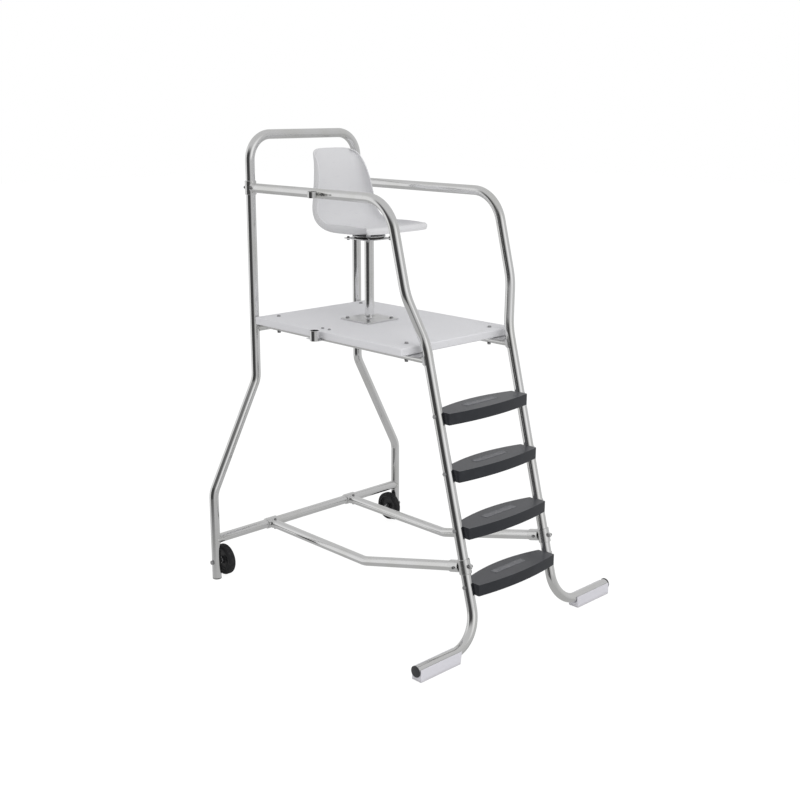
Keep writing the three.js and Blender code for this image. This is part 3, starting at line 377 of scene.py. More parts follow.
def tone(red, green, blue):
    """A colour from its values out of 255 as a screen shows them."""
    linear = []
    for value in (red, green, blue):
        share = value / 255
        linear.append(((share + 0.055) / 1.055) ** 2.4 if share > 0.04 else share / 12.92)
    return (*linear, 1)


def new_finish(name, **constants):
    """A material with its shader and a Socket at the piece's own coordinates."""
    finish = bpy.data.materials.new(name)
    finish.use_nodes = True
    shader = finish.node_tree.nodes["Principled BSDF"]
    for socket, value in constants.items():
        shader.inputs[socket.replace("_", " ")].default_value = value
    place = Socket(finish.node_tree).node("ShaderNodeTexCoord", output="Object")
    return finish, shader.inputs, place


def paint(inputs, colour, roughness, height, rise, strength):
    """Gives a finish its colour, its roughness and the height of its grain, in metres of rise."""
    colour.feed(inputs["Base Color"])
    roughness.feed(inputs["Roughness"])
    sockets = {"Height": height, "Distance": rise, "Strength": strength}
    height.node("ShaderNodeBump", None, sockets).feed(inputs["Normal"])


# Mirror-polished stainless, with a faint haze where hands and cloths pass
# and buffing that is too fine to see as lines
polished_steel, inputs, place = new_finish("polished_steel", Metallic=1.0)
haze = place.noise(7, 3).between(0.42, 0.7)
buffing = place.noise(420, 2)
colour = haze.blend(tone(236, 236, 236), tone(231, 231, 229))
paint(inputs, colour, 0.1 + haze * 0.03 + buffing * 0.02, buffing, 0.000004, 0.4)

hoop = tube([
    (-leg_half, 0, tip_thickness), (-leg_half, 0, splay_foot), (-upper_half, 0, splay_top),
    (-upper_half, 0, hoop_height), (upper_half, 0, hoop_height), (upper_half, 0, splay_top),
    (leg_half, 0, splay_foot), (leg_half, 0, tip_thickness),
], [splay_bend, splay_bend, hoop_corner, hoop_corner, splay_bend, splay_bend])
fit_tube("hoop_tube", hoop, "rear_hoop")

# Crossbar and platform cross tube: straight tubes coped to the hoop legs and welded all round.
# Two flat tabs welded to the cross tube carry the rear of the platform.
crossbar_height = 223
cross_tube_height = 1336.55
ladder_half = 290
weld_radius = 3
weld_ripples = 44
tab_low = 1354.7
tab_high = 1360.7
tab_length = 140
tab_half = 30
tab_root = 5
tab_edge = 1.5
weld_sides = 8
weld_trough = 0.92
weld_crest = 1.05


def coped_tube(half, height):
    """A level tube whose ends follow the round of the legs."""
    rings = []
    for radius, order in ((tube_radius, (-1, 1)), (tube_radius - tube_wall, (1, -1))):
        for side in order:
            ring = circle(z_way * height, y_way, z_way, radius, tube_sides)
            for point in ring:
                point.x = side * (half - sqrt(tube_radius ** 2 - point.y ** 2))
            rings.append(ring)
    return Form().skin(rings, closed=True)


def weld(form, path_points):
    """A rippled bead along a closed run of points."""
    rings = []
    count = len(path_points)
    for index, point in enumerate(path_points):
        heading = (path_points[(index + 1) % count] - path_points[index - 1]).normalized()
        across = heading.orthogonal().normalized()
        radius = weld_radius * (weld_trough if index % 2 else weld_crest)
        rings.append(circle(point, across, heading.cross(across), radius, weld_sides))
    return form.skin(rings, closed=True)


def cope_line(half, height, side):
    """Points round the joint where a level tube meets a leg."""
    points = []
    for angle in even(0, 2 * pi, weld_ripples * 2)[:-1]:
        y = tube_radius * cos(angle)
        z = height + tube_radius * sin(angle)
        points.append(Vector((side * (half - sqrt(max(tube_radius ** 2 - y ** 2, 0))), y, z)))
    return points


crossbar = coped_tube(leg_half, crossbar_height)
for side in (-1, 1):
    weld(crossbar, cope_line(leg_half, crossbar_height, side))
fit_tube("crossbar_tube", crossbar, "rear_crossbar")
cross_tube = coped_tube(upper_half, cross_tube_height)
for side in (-1, 1):
    weld(cross_tube, cope_line(upper_half, cross_tube_height, side))
    middle = side * ladder_half
    near = (middle - tab_half, -tab_length, tab_low)
    cross_tube.block(near, (middle + tab_half, -tab_root, tab_high), tab_edge)
fit_tube("cross_tube", cross_tube, "platform_cross_tube")

# Side rails: on each side one stainless tube, bent into the handrail, the jog beside the platform,
# the leaning ladder rail and the foot that turns outwards; its rear end slips over a tee's neck.
rail_height = 2063
rail_length = 1029
rail_bend = 182
rail_lean = radians(14.6)
jog_top = 1641
jog_foot = 1417
jog_bend = 300
foot_height = 48
foot_bend = 167
foot_half_span = 697
rail_start = 56.95


def rail_y(height):
    """How far forward the leaning ladder rail is at a height."""
    return -rail_length - (rail_height - height) * tan(rail_lean)


foot_y = rail_y(foot_height)
for name, side in both_sides:
    rail = tube([
        (side * upper_half, -rail_start, rail_height), (side * upper_half, -rail_length, rail_height),
        (side * upper_half, rail_y(jog_top), jog_top), (side * ladder_half, rail_y(jog_foot), jog_foot),
        (side * ladder_half, foot_y, foot_height), (side * foot_half_span, foot_y, foot_height),
    ], [rail_bend, jog_bend, jog_bend, foot_bend])
    fit_tube(f"{name}_rail_tube", rail, f"{name}_rail")

# Lower rails: on each side one stainless tube, level from the crossbar's tee and then bent up,
# so that it meets the ladder rail square and ends in the socket of the ladder's tee.
level_length = 774
lower_bend = 130
lower_end_gap = 30.95
rise_length = cos(rail_lean) * (-rail_y(crossbar_height) - level_length)
rise = Vector((0, -cos(rail_lean), sin(rail_lean)))
for name, side in both_sides:
    bend = Vector((side * ladder_half, -level_length, crossbar_height))
    rail = tube([
        (side * ladder_half, -rail_start, crossbar_height), bend, bend + rise * (rise_length - lower_end_gap),
    ], [lower_bend])
    fit_tube(f"{name}_lower_tube", rail, f"{name}_lower_rail")

# Tee fittings: polished cast stainless collars in two halves round the run tube.
# A bolt through the neck or socket and one through the lug behind draw the halves together.
fit_gap = 0.3
collar_radius = 29.45
collar_half = 35
neck_radius = 23.6
spigot_radius = 21.3
neck_seam = 1.2
neck_bolt = 35.95
lug_reach = 43.95
lug_half_thickness = 5.5
lug_half_height = 11
lug_chamfer = 4
lug_bolt = 36.7
socket_radius = 28.95
socket_length = 87.45
socket_bolt = 44.95
cap_width = 14
cap_height = 8
nut_height = 6
neck_inset = 2
neck_flare = 1.5
flare_length = 2.5
spigot_length = 12
lug_inset = 2
screw_sunk = 2
screw_profile = [(0.85, 1), (1, 0.86), (1, 0.55), (0.4, 0.55)]
cast_edge = 1.5

cast_steel, inputs, place = new_finish("cast_steel", Metallic=1.0)
grain = place.noise(260, 3)
patches = place.noise(22, 2)
colour = patches.blend(tone(236, 236, 236), tone(226, 226, 225))
paint(inputs, colour, 0.14 + patches * 0.06 + grain * 0.04, grain, 0.00003, 0.4)

dark_steel, inputs, place = new_finish("dark_steel", Metallic=1.0)
wear = place.noise(300, 2)
colour = wear.blend(tone(140, 140, 142), tone(175, 175, 175))
paint(inputs, colour, 0.25 + wear * 0.15, wear, 0.00003, 0.3)


def cap_screw(form, point, heading, width=cap_width, height=cap_height):
    """A round screw head with a round socket."""
    radius = width / 2
    profile = [(height * rise, radius * share) for rise, share in screw_profile]
    return form.turned(point, heading, [(-screw_sunk, radius)] + profile, small_sides)


def mirrored(half):
    """A profile with the same shape on both sides of its middle, from one half of it."""
    return [(-distance, radius) for distance, radius in half] + half[::-1]


def tee(run, branch, centre, socketed):
    """The collar and the bolts of a tee; the bolts run square to the run and the branch."""
    run, branch, centre = Vector(run).normalized(), Vector(branch).normalized(), Vector(centre)
    bolt_way = run.cross(branch)
    bore = tube_radius + fit_gap
    branch_start = centre + branch * tube_radius
    collar = Form().turned(centre, run, mirrored([
        (collar_half, bore), (collar_half, collar_radius - cast_edge),
        (collar_half - cast_edge, collar_radius),
    ]), tube_sides, closed=True)
    if socketed:
        depth = socket_length - tube_radius
        collar.turned(branch_start, branch, [
            (0, bore), (0, socket_radius), (depth - cast_edge, socket_radius),
            (depth, socket_radius - cast_edge), (depth, bore),
        ], tube_sides, closed=True)
    else:
        root = collar_radius - tube_radius
        neck_end = rail_start - tube_radius - neck_seam
        collar.turned(branch_start, branch, [
            (0, collar_radius - neck_inset), (root, neck_radius + neck_flare),
            (root + flare_length, neck_radius), (neck_end, neck_radius),
            (neck_end, spigot_radius), (neck_end + spigot_length, spigot_radius),
        ], tube_sides)
    lug = [
        (tube_radius + lug_inset, lug_half_height), (lug_reach - lug_chamfer, lug_half_height),
        (lug_reach, lug_half_height - lug_chamfer),
    ]
    outline = lug + [(reach, -half) for reach, half in lug[::-1]]
    collar.skin([[centre - branch * reach + run * across + bolt_way * offset for reach, across in outline]
                 for offset in (-lug_half_thickness, lug_half_thickness)])
    bolts = Form()
    through = socket_bolt if socketed else neck_bolt
    branch_radius = socket_radius if socketed else neck_radius
    seat = sqrt(branch_radius ** 2 - (cap_width / 2) ** 2)
    for distance, surface in ((through, seat), (-lug_bolt, lug_half_thickness)):
        spot = centre + branch * distance
        cap_screw(bolts, spot + bolt_way * surface, bolt_way)
        bolts.hexagon(spot - bolt_way * surface, -bolt_way, cap_width, nut_height)
    return collar, bolts


for name, side in both_sides:
    lower_meeting = Vector((side * ladder_half, -level_length, crossbar_height)) + rise * rise_length
    for place_name, run, branch, centre, socketed in (
        ("handrail", (0, 0, side), (0, -1, 0), (side * upper_half, 0, rail_height), False),
        ("crossbar", (-1, 0, 0), (0, -1, 0), (side * ladder_half, 0, crossbar_height), False),
        ("ladder", (0, -side * sin(rail_lean), -side * cos(rail_lean)), -rise, lower_meeting, True),
    ):
        collar, bolts = tee(run, branch, centre, socketed)
        node = f"{name}_{place_name}_tee"
        fit(f"{node}_collar", collar, cast_steel, node)
        fit(f"{node}_bolts", bolts, dark_steel, node)

# Platform bearers: two round steel tubes under the board, from the cross tube to the ladder rails.
# In front of each is a bracket, a tapered steel plate notched round the rail, with a half-round
# saddle welded below it behind the rail.
bearer_radius = 16
bearer_wall = 2.5
bearer_top = 1354.4
bearer_height = bearer_top - bearer_radius
saddle_radius = 30.95
saddle_low = 1320.7
saddle_steps = 24
bracket_half = 58
bracket_front_half = 50
bracket_front_setback = 14
bracket_lap = 100
platform_front = -1142
notch_gap = 0.5
notch_rear_gap = 1.5
saddle_gap = 0.4
saddle_edge = 1.5
saddle_trim = 0.02
bracket_edge = 1

plate_steel, inputs, place = new_finish("plate_steel", Metallic=1.0)
rolled = place.stretched((1, 6, 6)).noise(160, 2)
stain = place.noise(14, 2).between(0.45, 0.75)
colour = stain.blend(tone(228, 228, 229), tone(220, 220, 219))
paint(inputs, colour, 0.3 + rolled * 0.06 + stain * 0.04, rolled, 0.00002, 0.4)

for name, side in both_sides:
    middle = side * ladder_half
    bearer = Form()
    rear, front = [], []
    for radius in (bearer_radius, bearer_radius - bearer_wall):
        for ends in (rear, front):
            ends.append(circle(Vector((middle, 0, bearer_height)), x_way, z_way, radius, tube_sides))
        for point in rear[-1]:
            point.y = -sqrt(max(tube_radius ** 2 - (point.z - cross_tube_height) ** 2, 0))
        for point in front[-1]:
            saddle = sqrt(saddle_radius ** 2 - (point.x - middle) ** 2) / cos(rail_lean)
            point.y = rail_y(point.z) + saddle + fit_gap
    bearer.skin([rear[0], front[0], front[1], rear[1]], closed=True)
    fit_tube(f"{name}_bearer_tube", bearer, f"{name}_platform_bearer")

    bracket = Form()
    rail_at = rail_y(tab_high)
    bracket_front = rail_at + bracket_front_setback
    notch = []
    for angle in even(0, pi, saddle_steps):
        y = rail_at + (tube_radius + notch_rear_gap) * sin(angle) / cos(rail_lean)
        notch.append((middle + (tube_radius + notch_gap) * cos(angle), max(y, bracket_front)))
    bracket.prism([
        (middle + bracket_front_half, bracket_front), (middle + bracket_half, platform_front),
        (middle + bracket_half, platform_front + bracket_lap),
        (middle - bracket_half, platform_front + bracket_lap),
        (middle - bracket_half, platform_front), (middle - bracket_front_half, bracket_front),
        *notch[::-1],
    ], tab_low, tab_high)
    rings = []
    for height, edge in (
        (saddle_low, saddle_edge), (saddle_low + saddle_edge, 0),
        (tab_high - saddle_edge, 0), (tab_high, saddle_edge),
    ):
        ring = []
        for radius, order in ((saddle_radius - edge, 1), (tube_radius + saddle_gap, -1)):
            arc = []
            for angle in even(pi * saddle_trim, pi * (1 - saddle_trim), saddle_steps):
                y = rail_y(height) + radius * sin(angle) / cos(rail_lean)
                arc.append(Vector((middle + radius * cos(angle), y, height)))
            ring += arc[::order]
        rings.append(ring)
    bracket.skin(rings)
    node = f"{name}_front_bracket"
    fit(f"{name}_bracket_plate", bracket, plate_steel, node, rounding=bracket_edge)

# Platform: one slab of pale marine board with its corners and edges routed round.
# It lies on the cross tube's tabs and the front brackets, and is bolted down through the bearers.
platform_top = 1400
platform_low = 1361
platform_half = 392
platform_rear = -42
board_corner = 8
board_edge = 6
corner_steps = 6

marine_board, inputs, place = new_finish("marine_board", Specular_IOR_Level=0.35)
stipple = place.noise(900, 2, 0.6)
cloud = place.noise(4.5, 3)
scuff = place.stretched((1, 6, 1)).noise(38, 4, 0.62).between(0.6, 0.78)
board_tone = cloud.blend(tone(214, 214, 217), tone(219, 219, 222))
colour = scuff.blend(board_tone, tone(203, 203, 206))
paint(inputs, colour, 0.56 + stipple * 0.14 - scuff * 0.1, stipple, 0.0003, 0.45)

deck_outline = []
board_corners = ((1, platform_rear), (-1, platform_rear), (-1, platform_front), (1, platform_front))
for quarter, (x, y) in enumerate(board_corners):
    inward = 1 if y == platform_front else -1
    for angle in even(pi / 2 * quarter, pi / 2 * (quarter + 1), corner_steps):
        deck_outline.append((
            x * (platform_half - board_corner) + board_corner * cos(angle),
            y + inward * board_corner + board_corner * sin(angle),
        ))
deck = Form().prism(deck_outline, platform_low, platform_top)
fit("platform_board", deck, marine_board, "platform", rounding=board_edge)

# Bolts through the platform: stainless hexagon bolts that stand heads up, with washers and nuts.
# Four hold the board, four the pedestal and two smaller ones the lower pole holder.
bolt_x = 290
rear_bolt_y = -113
front_bolt_y = -1071
pedestal_y = -500
base_spacing = 80
base_top = 1407.3
holder_bolts = (("rear", -527), ("front", -577))
holder_bolt_x = -340
bolt_size = 10
board_bolt_tail = 9
pedestal_bolt_tail = 6
holder_bolt_size = 8
holder_bolt_tail = 5
washer = 1.6
washer_profile = [(0, 1.05), (0.7, 1.05), (1, 0.98)]
head_share = 1.7
head_rise = 0.55
nut_rise = 0.8
shank_end_share = 0.4
shank_sides = 20
cup_low = 1357.7


def standing_bolt(x, y, top, bottom, size, tail):
    """A head and washer on top, and a washer, a nut and the tail of the shank below."""
    bolt = Form()
    ring = [(washer * rise, size * share) for rise, share in washer_profile]
    for height, way, rise in ((top, 1, head_rise), (bottom, -1, nut_rise)):
        bolt.turned((x, y, height), z_way * way, ring, small_sides)
        bolt.hexagon((x, y, height + way * washer), z_way * way, size * head_share, size * rise)
    length = top - bottom + washer + tail
    shank = [(0, size / 2), (length - 1, size / 2), (length, size * shank_end_share)]
    return bolt.turned((x, y, top), -z_way, shank, shank_sides)


def fit_bolt(node, bolt):
    fit(f"{node}_hex", bolt, fastener_steel, node)


fastener_steel, inputs, place = new_finish("fastener_steel", Metallic=1.0)
turned = place.noise(500, 2)
colour = turned.blend(tone(160, 160, 162), tone(186, 186, 186))
paint(inputs, colour, 0.2 + turned * 0.12, turned, 0.00002, 0.3)

for name, side in both_sides:
    for end, y in (("rear", rear_bolt_y), ("front", front_bolt_y)):
        below = bearer_height - bearer_radius
        bolt = standing_bolt(side * bolt_x, y, platform_top, below, bolt_size, board_bolt_tail)
        fit_bolt(f"platform_bolt_{name}_{end}", bolt)
    for end, way in (("rear", 1), ("front", -1)):
        x, y = side * base_spacing, pedestal_y + way * base_spacing
        bolt = standing_bolt(x, y, base_top, platform_low, bolt_size, pedestal_bolt_tail)
        fit_bolt(f"pedestal_bolt_{name}_{end}", bolt)
for end, y in holder_bolts:
    bolt = standing_bolt(holder_bolt_x, y, platform_top, cup_low, holder_bolt_size, holder_bolt_tail)
    fit_bolt(f"pole_holder_bolt_{end}", bolt)

# Pedestal: a square steel base plate bolted to the board and a post of polished stainless tube.
# The post is welded to the plate with a bright smooth fillet and to the swivel with a rippled bead.
base_half = 106
base_low = 1400.3
post_top = 1816
fillet = [(0, 0), (0, 7), (2, 3), (4.5, 1), (7, 0.2)]
bead_drop = 1.5
bead_out = 1.2
plate_edge = 1.2


def square_plate(half, low, top):
    """A square plate about the pedestal's middle."""
    return Form().block((-half, pedestal_y - half, low), (half, pedestal_y + half, top), plate_edge)


base = square_plate(base_half, base_low, base_top)
foot = [(height, tube_radius + out) for height, out in fillet]
base.turned((0, pedestal_y, base_top), z_way, foot, tube_sides)
fit("pedestal_base", base, plate_steel, "pedestal_base_plate")
post = tube([(0, pedestal_y, base_top), (0, pedestal_y, post_top)])
bead_middle = Vector((0, pedestal_y, post_top - bead_drop))
weld(post, circle(bead_middle, x_way, y_way, tube_radius + bead_out, weld_ripples * 2))
fit_tube("pedestal_post_tube", post, "pedestal_post")

# Swivel: a square steel plate on the post with a bolt in each corner, a greased ball race on it,
# and above the race the round steel plate that turns with the seat.
swivel_half = 90
swivel_low = 1816.3
swivel_top = 1821.3
swivel_bolt = 75
swivel_head_width = 13
swivel_head_height = 7
race_low = 1821.6
race_half = 4
race_lip = 1.2
race_groove = 0.6
race_groove_depth = 3
race_bore = 30
race_edge = 1
race_radius = 76
turning_radius = 84
turning_top = 1834.4
turning_edge = 1
plate_sides = 96


def corner_spots(spacing):
    """The four corners of a square about the pedestal's middle."""
    return [(x, pedestal_y + y) for x in (-spacing, spacing) for y in (-spacing, spacing)]


swivel = square_plate(swivel_half, swivel_low, swivel_top)
fit("swivel_fixed_plate", swivel, plate_steel, "swivel_lower_plate")
heads = Form()
for x, y in corner_spots(swivel_bolt):
    heads.hexagon((x, y, swivel_top), z_way, swivel_head_width, swivel_head_height)
    heads.hexagon((x, y, swivel_low), -z_way, swivel_head_width, swivel_head_height)
fit("swivel_plate_bolts", heads, fastener_steel, "swivel_lower_plate")

# The race is painted dark: partly patchy grease, and partly painted shade of the narrow gap between the two
# plates.
race_steel, inputs, place = new_finish("race_steel", Metallic=1.0)
grease_and_shade = place.noise(60, 3)
colour = grease_and_shade.blend(tone(70, 70, 72), tone(120, 118, 115))
paint(inputs, colour, 0.3 + grease_and_shade * 0.2, grease_and_shade, 0.0001, 0.4)
race = Form().turned((0, pedestal_y, race_low + race_half), z_way, mirrored([
    (race_half, race_bore), (race_half, race_radius - race_edge), (race_half - race_edge, race_radius),
    (race_lip, race_radius), (race_groove, race_radius - race_groove_depth),
]), plate_sides, closed=True)
fit("swivel_race", race, race_steel, "swivel_bearing")
turning_low = race_low + 2 * race_half + fit_gap
turning = Form().turned((0, pedestal_y, 0), z_way, [
    (turning_low, turning_radius - turning_edge), (turning_low + turning_edge, turning_radius),
    (turning_top - turning_edge, turning_radius), (turning_top, turning_radius - turning_edge),
], plate_sides)
fit("swivel_turning_plate", turning, plate_steel, "swivel_upper_plate", body="seat")

# Seat: one bucket shell moulded in pale plastic with a fine leather grain and a rounded rim.
# Four bosses below it, moulded with it, take the screws of the turning plate.
boss_low = 1834.7
seat_front_reach = 214
seat_back_reach = 291
seat_height = 414
seat_half = 211
seat_thickness = 5
rim_power = 3
seat_columns = 60
seat_steps = 5
seat_edge = 2
seat_crease = radians(50)
boss_spacing = 49
boss_profile = [(0, 13), (12, 14), (16, 16)]
# For each station from the front lip to the top of the back: the middle's and the rim's place
# as shares of the reach and height, and the share of the half width
seat_stations = [
    (1.0, 0.070, 0.965, 0.085, 0.93), (0.998, 0.108, 0.97, 0.121, 0.962), (0.94, 0.131, 0.915, 0.147, 0.982),
    (0.8, 0.118, 0.8, 0.153, 0.991), (0.56, 0.07, 0.56, 0.158, 0.996), (0.19, 0.024, 0.235, 0.16, 1.0),
    (-0.17, 0.014, -0.1, 0.155, 1.0), (-0.447, 0.022, -0.275, 0.153, 1.0),
    (-0.67, 0.075, -0.395, 0.179, 0.995), (-0.818, 0.164, -0.495, 0.227, 0.986),
    (-0.883, 0.297, -0.557, 0.307, 0.972),
    (-0.911, 0.466, -0.579, 0.44, 0.912), (-0.935, 0.659, -0.615, 0.634, 0.84),
    (-0.962, 0.84, -0.683, 0.803, 0.772), (-0.982, 0.94, -0.765, 0.905, 0.733),
    (-0.992, 0.99, -0.825, 0.955, 0.7), (-0.998, 1.016, -0.865, 0.988, 0.642),
    (-1.0, 1.028, -0.895, 1.006, 0.55),
]

shell_plastic, inputs, place = new_finish("shell_plastic", Specular_IOR_Level=0.4)
leather_grain = place.noise(1100, 2, 0.6)
flow = place.noise(5, 2)
rub = place.stretched((1, 1, 3)).noise(24, 3).between(0.6, 0.8)
shell_tone = flow.blend(tone(209, 209, 211), tone(214, 214, 216))
colour = rub.blend(shell_tone, tone(204, 204, 207))
paint(inputs, colour, 0.38 + leather_grain * 0.1 + rub * 0.08, leather_grain, 0.0002, 0.4)


def eased(before, low, high, after, share):
    """A smooth curve through four neighbouring values."""
    return 0.5 * (2 * low + (high - before) * share + (2 * before - 5 * low + 4 * high - after) * share ** 2
                  + (3 * low - before - 3 * high + after) * share ** 3)


def seat_place(share_forward, share_up):
    """A point in the seat's middle plane, from its shares of the reach and of the height."""
    reach = seat_front_reach if share_forward > 0 else seat_back_reach
    return Vector((0, pedestal_y - share_forward * reach, boss_low + share_up * seat_height))


stations = []
last = len(seat_stations) - 1
for index in range(last):
    near = [seat_stations[max(0, min(last, index + step))] for step in (-1, 0, 1, 2)]
    for step in range(seat_steps):
        stations.append([eased(*values, step / seat_steps) for values in zip(*near)])
stations.append(seat_stations[-1])
shell = Form()
rows = []
for mid_y, mid_z, rim_y, rim_z, width in stations:
    row = []
    for column in range(seat_columns + 1):
        angle = pi * column / seat_columns
        across = abs(cos(angle)) ** (2 / rim_power) * (1 if cos(angle) > 0 else -1)
        to_rim = 1 - sin(angle) ** (2 / rim_power) if 0 < column < seat_columns else 1
        point = seat_place(mid_y, mid_z).lerp(seat_place(rim_y, rim_z), to_rim)
        point.x = -across * width * seat_half
        row.append(shell.mesh.verts.new(point))
    rows.append(row)
for low, high in zip(rows, rows[1:]):
    for index in range(seat_columns):
        shell.mesh.faces.new((low[index], low[index + 1], high[index + 1], high[index]))
seat = fit("seat_shell_moulding", shell, shell_plastic, "seat_shell", body="seat")
skin = seat.modifiers.new("skin", "SOLIDIFY")
skin.thickness = seat_thickness * millimetre
skin.offset = -1
add_edge(seat, seat_edge, seat_crease, harden=False)
bosses = Form()
for x, y in corner_spots(boss_spacing):
    bosses.turned((x, y, boss_low), z_way, boss_profile)
fit("seat_bosses", bosses, shell_plastic, "seat_shell", body="seat")

# Ladder treads: moulded in dark plastic, bowed front and rear and hollow below between ribs.
# Each is notched round the rails and held by a bolt from each side; its raised panel stays bare.
tread_tops = [1108.5 - 260.5 * index for index in range(4)]
tread_height = 55.5
tread_half = 275
tread_front = -61
tread_front_bow = 25
tread_rear = 30
tread_rear_bow = 40
tread_inner = 265.4
notch_radius = 24.45
tread_edge = 3
tread_wall = 9
tread_skin = 16
pocket_end = 247.85
rib_places = (-123.9, 0, 123.9)
outline_steps = 24
notch_steps = 12
pocket_steps = 8
pocket_open = 5
tread_bolt_depth = 18
tread_bolt_profile = [(-8, 5), (0, 5), (0, 9.5), (1.2, 9.5), (1.8, 9)]
tread_bolt_sunk = 0.5
tread_head_start = 1.6
tread_head_width = 17
tread_head_height = 5.5
panel_half = 110
panel_depth_half = 17
panel_sunk = 1
panel_lap = 1
panel_frame = 4
panel_rise = 1.6
panel_edge = 0.6
panel_floor = 0.6
panel_floor_edge = 0.2

tread_plastic, inputs, place = new_finish("tread_plastic", Specular_IOR_Level=0.4)
pebble = place.noise(420, 3, 0.65)
dust = place.noise(18, 4, 0.6).between(0.45, 0.75)
# Faces that look up are painted lighter, a painted sheen of the room's light on the tread tops, made a little
# patchy by the dust noise.
upright = place.node("ShaderNodeTexCoord", output="Normal").along(z_way)
painted_top_sheen = upright.between(0.7, 0.98) * (0.75 + dust * 0.25)
moulded = dust.blend(tone(36, 38, 43), tone(43, 45, 50))
colour = painted_top_sheen.blend(moulded, tone(84, 85, 89))
paint(inputs, colour, 0.28 + pebble * 0.1 + dust * 0.06, pebble, 0.0002, 0.3)

panel_plastic, inputs, place = new_finish("panel_plastic", Specular_IOR_Level=0.4)
rubbed = place.noise(60, 4, 0.6).between(0.4, 0.7)
colour = rubbed.blend(tone(118, 119, 123), tone(138, 138, 141))
paint(inputs, colour, 0.5 + rubbed * 0.15, place.noise(500, 3), 0.0002, 0.3)


def bowed(from_x, to_x, edge, bow, half, steps):
    """Points along an edge that bows out most in its middle."""
    return [(x, edge + bow * (1 - (x / half) ** 2)) for x in even(from_x, to_x, steps)]


def tread_outline(lower):
    """The plan of a tread; the notches for the leaning rails move forward as they go down."""
    notch_y = -lower * tan(rail_lean)
    from_angle = -pi / 2 - asin((ladder_half - tread_half) / notch_radius)
    notch = []
    for angle in even(from_angle, -pi, notch_steps):
        y = notch_y + notch_radius * sin(angle) / cos(rail_lean)
        notch.append((ladder_half + notch_radius * cos(angle), y))
    front = bowed(-tread_half, tread_half, tread_front, -tread_front_bow, tread_half, outline_steps)
    rear = bowed(tread_inner, -tread_inner, tread_rear, tread_rear_bow, tread_inner, outline_steps)
    return front + notch + rear + [(-x, y) for x, y in notch[::-1]]


def pocket_outline(left, right):
    """The plan of the hollow between two ribs, a wall inside the tread's outline."""
    half = tread_half - tread_wall
    front = bowed(left, right, tread_front + tread_wall, -tread_front_bow, half, pocket_steps)
    return front + bowed(right, left, tread_rear - tread_wall, tread_rear_bow, half, pocket_steps)


def carve(piece, hollow):
    """Cuts closed forms out of a piece's mesh."""
    tool = hollow.placed("hollow")
    cutter = piece.modifiers.new("cut", "BOOLEAN")
    cutter.operation = "DIFFERENCE"
    cutter.solver = "EXACT"
    cutter.object = tool
    seen = bpy.context.evaluated_depsgraph_get()
    cut_shape = bpy.data.meshes.new_from_object(piece.evaluated_get(seen))
    piece.modifiers.remove(cutter)
    piece.data = cut_shape
    bpy.data.objects.remove(tool)


for index, top in enumerate(tread_tops):
    rail_line = rail_y(top)
    tread = Form()
    rings = []
    for lower in (tread_height, 0):
        rings.append([(x, rail_line + y, top - lower) for x, y in tread_outline(lower)])
    tread.skin(rings)
    body = fit(f"tread_{index + 1}_body", tread, tread_plastic, f"tread_{index + 1}")
    hollow = Form()
    walls = [-pocket_end, *rib_places, pocket_end]
    for left, right in zip(walls, walls[1:]):
        left += tread_wall / 2 if left > -pocket_end else 0
        right -= tread_wall / 2 if right < pocket_end else 0
        outline = [(x, rail_line + y) for x, y in pocket_outline(left, right)]
        hollow.prism(outline, top - tread_height - pocket_open, top - tread_skin)
    carve(body, hollow)
    add_edge(body, tread_edge)
    panel = Form()
    base = top - panel_sunk
    frame_top = top + panel_rise
    near, far = rail_line - panel_depth_half, rail_line + panel_depth_half
    for x in (-panel_half, panel_half - panel_frame):
        panel.block((x, near, base), (x + panel_frame, far, frame_top), panel_edge)
    for y in (near, far - panel_frame):
        panel.block((-panel_half, y, base), (panel_half, y + panel_frame, frame_top), panel_edge)
    half = panel_half - panel_lap
    floor_top = top + panel_floor
    panel.block((-half, near + panel_lap, base), (half, far - panel_lap, floor_top), panel_floor_edge)
    fit(f"tread_{index + 1}_panel", panel, panel_plastic, f"tread_{index + 1}")

for name, side in both_sides:
    for index, top in enumerate(tread_tops):
        height = top - tread_bolt_depth
        outward = x_way * side
        face = Vector((side * (ladder_half + tube_radius - tread_bolt_sunk), rail_y(height), height))
        bolt = Form().turned(face, outward, tread_bolt_profile, small_sides)
        bolt.hexagon(face + outward * tread_head_start, outward, tread_head_width, tread_head_height)
        fit_bolt(f"{name}_tread_bolt_{index + 1}", bolt)

# Front skids: cradles machined from pale plastic, one under each foot tube, which lies in
# a round groove along its top; the inner end is cut on a slant.
skid_inner = 428
skid_outer = 693
skid_slant = 8
skid_height = 61
skid_half = 28.95
skid_edge = 2
skid_gap = 0.4
groove_steps = 24
darkening_height = 0.02

skid_plastic, inputs, place = new_finish("skid_plastic", Specular_IOR_Level=0.35)
knit = place.noise(700, 2)
scrape = place.stretched((1, 9, 9)).noise(30, 4, 0.6).between(0.62, 0.85)
# Darker towards the bottom, over the lowest 2 cm above the floor.
low_darkening = (darkening_height - place.along(z_way)).between(0.0, darkening_height)
skid_tone = scrape.blend(tone(214, 213, 219), tone(206, 205, 211))
colour = (low_darkening * 0.5).blend(skid_tone, tone(180, 178, 180))
paint(inputs, colour, 0.48 + knit * 0.14, knit, 0.00006, 0.3)

for name, side in both_sides:
    skid = Form()
    bore_radius = tube_radius + skid_gap
    section = [(-skid_half, 0), (skid_half, 0), (skid_half, skid_height), (bore_radius, skid_height)]
    for angle in even(0, -pi, groove_steps):
        section.append((bore_radius * cos(angle), foot_height + bore_radius * sin(angle)))
    section += [(-bore_radius, skid_height), (-skid_half, skid_height)]
    rings = []
    for x, slant in ((skid_inner, skid_slant), (skid_outer, 0)):
        rings.append([(side * (x + slant * (1 - z / skid_height)), foot_y + y, z) for y, z in section])
    skid.skin(rings)
    fit(f"{name}_skid_cradle", skid, skid_plastic, f"{name}_skid", rounding=skid_edge)

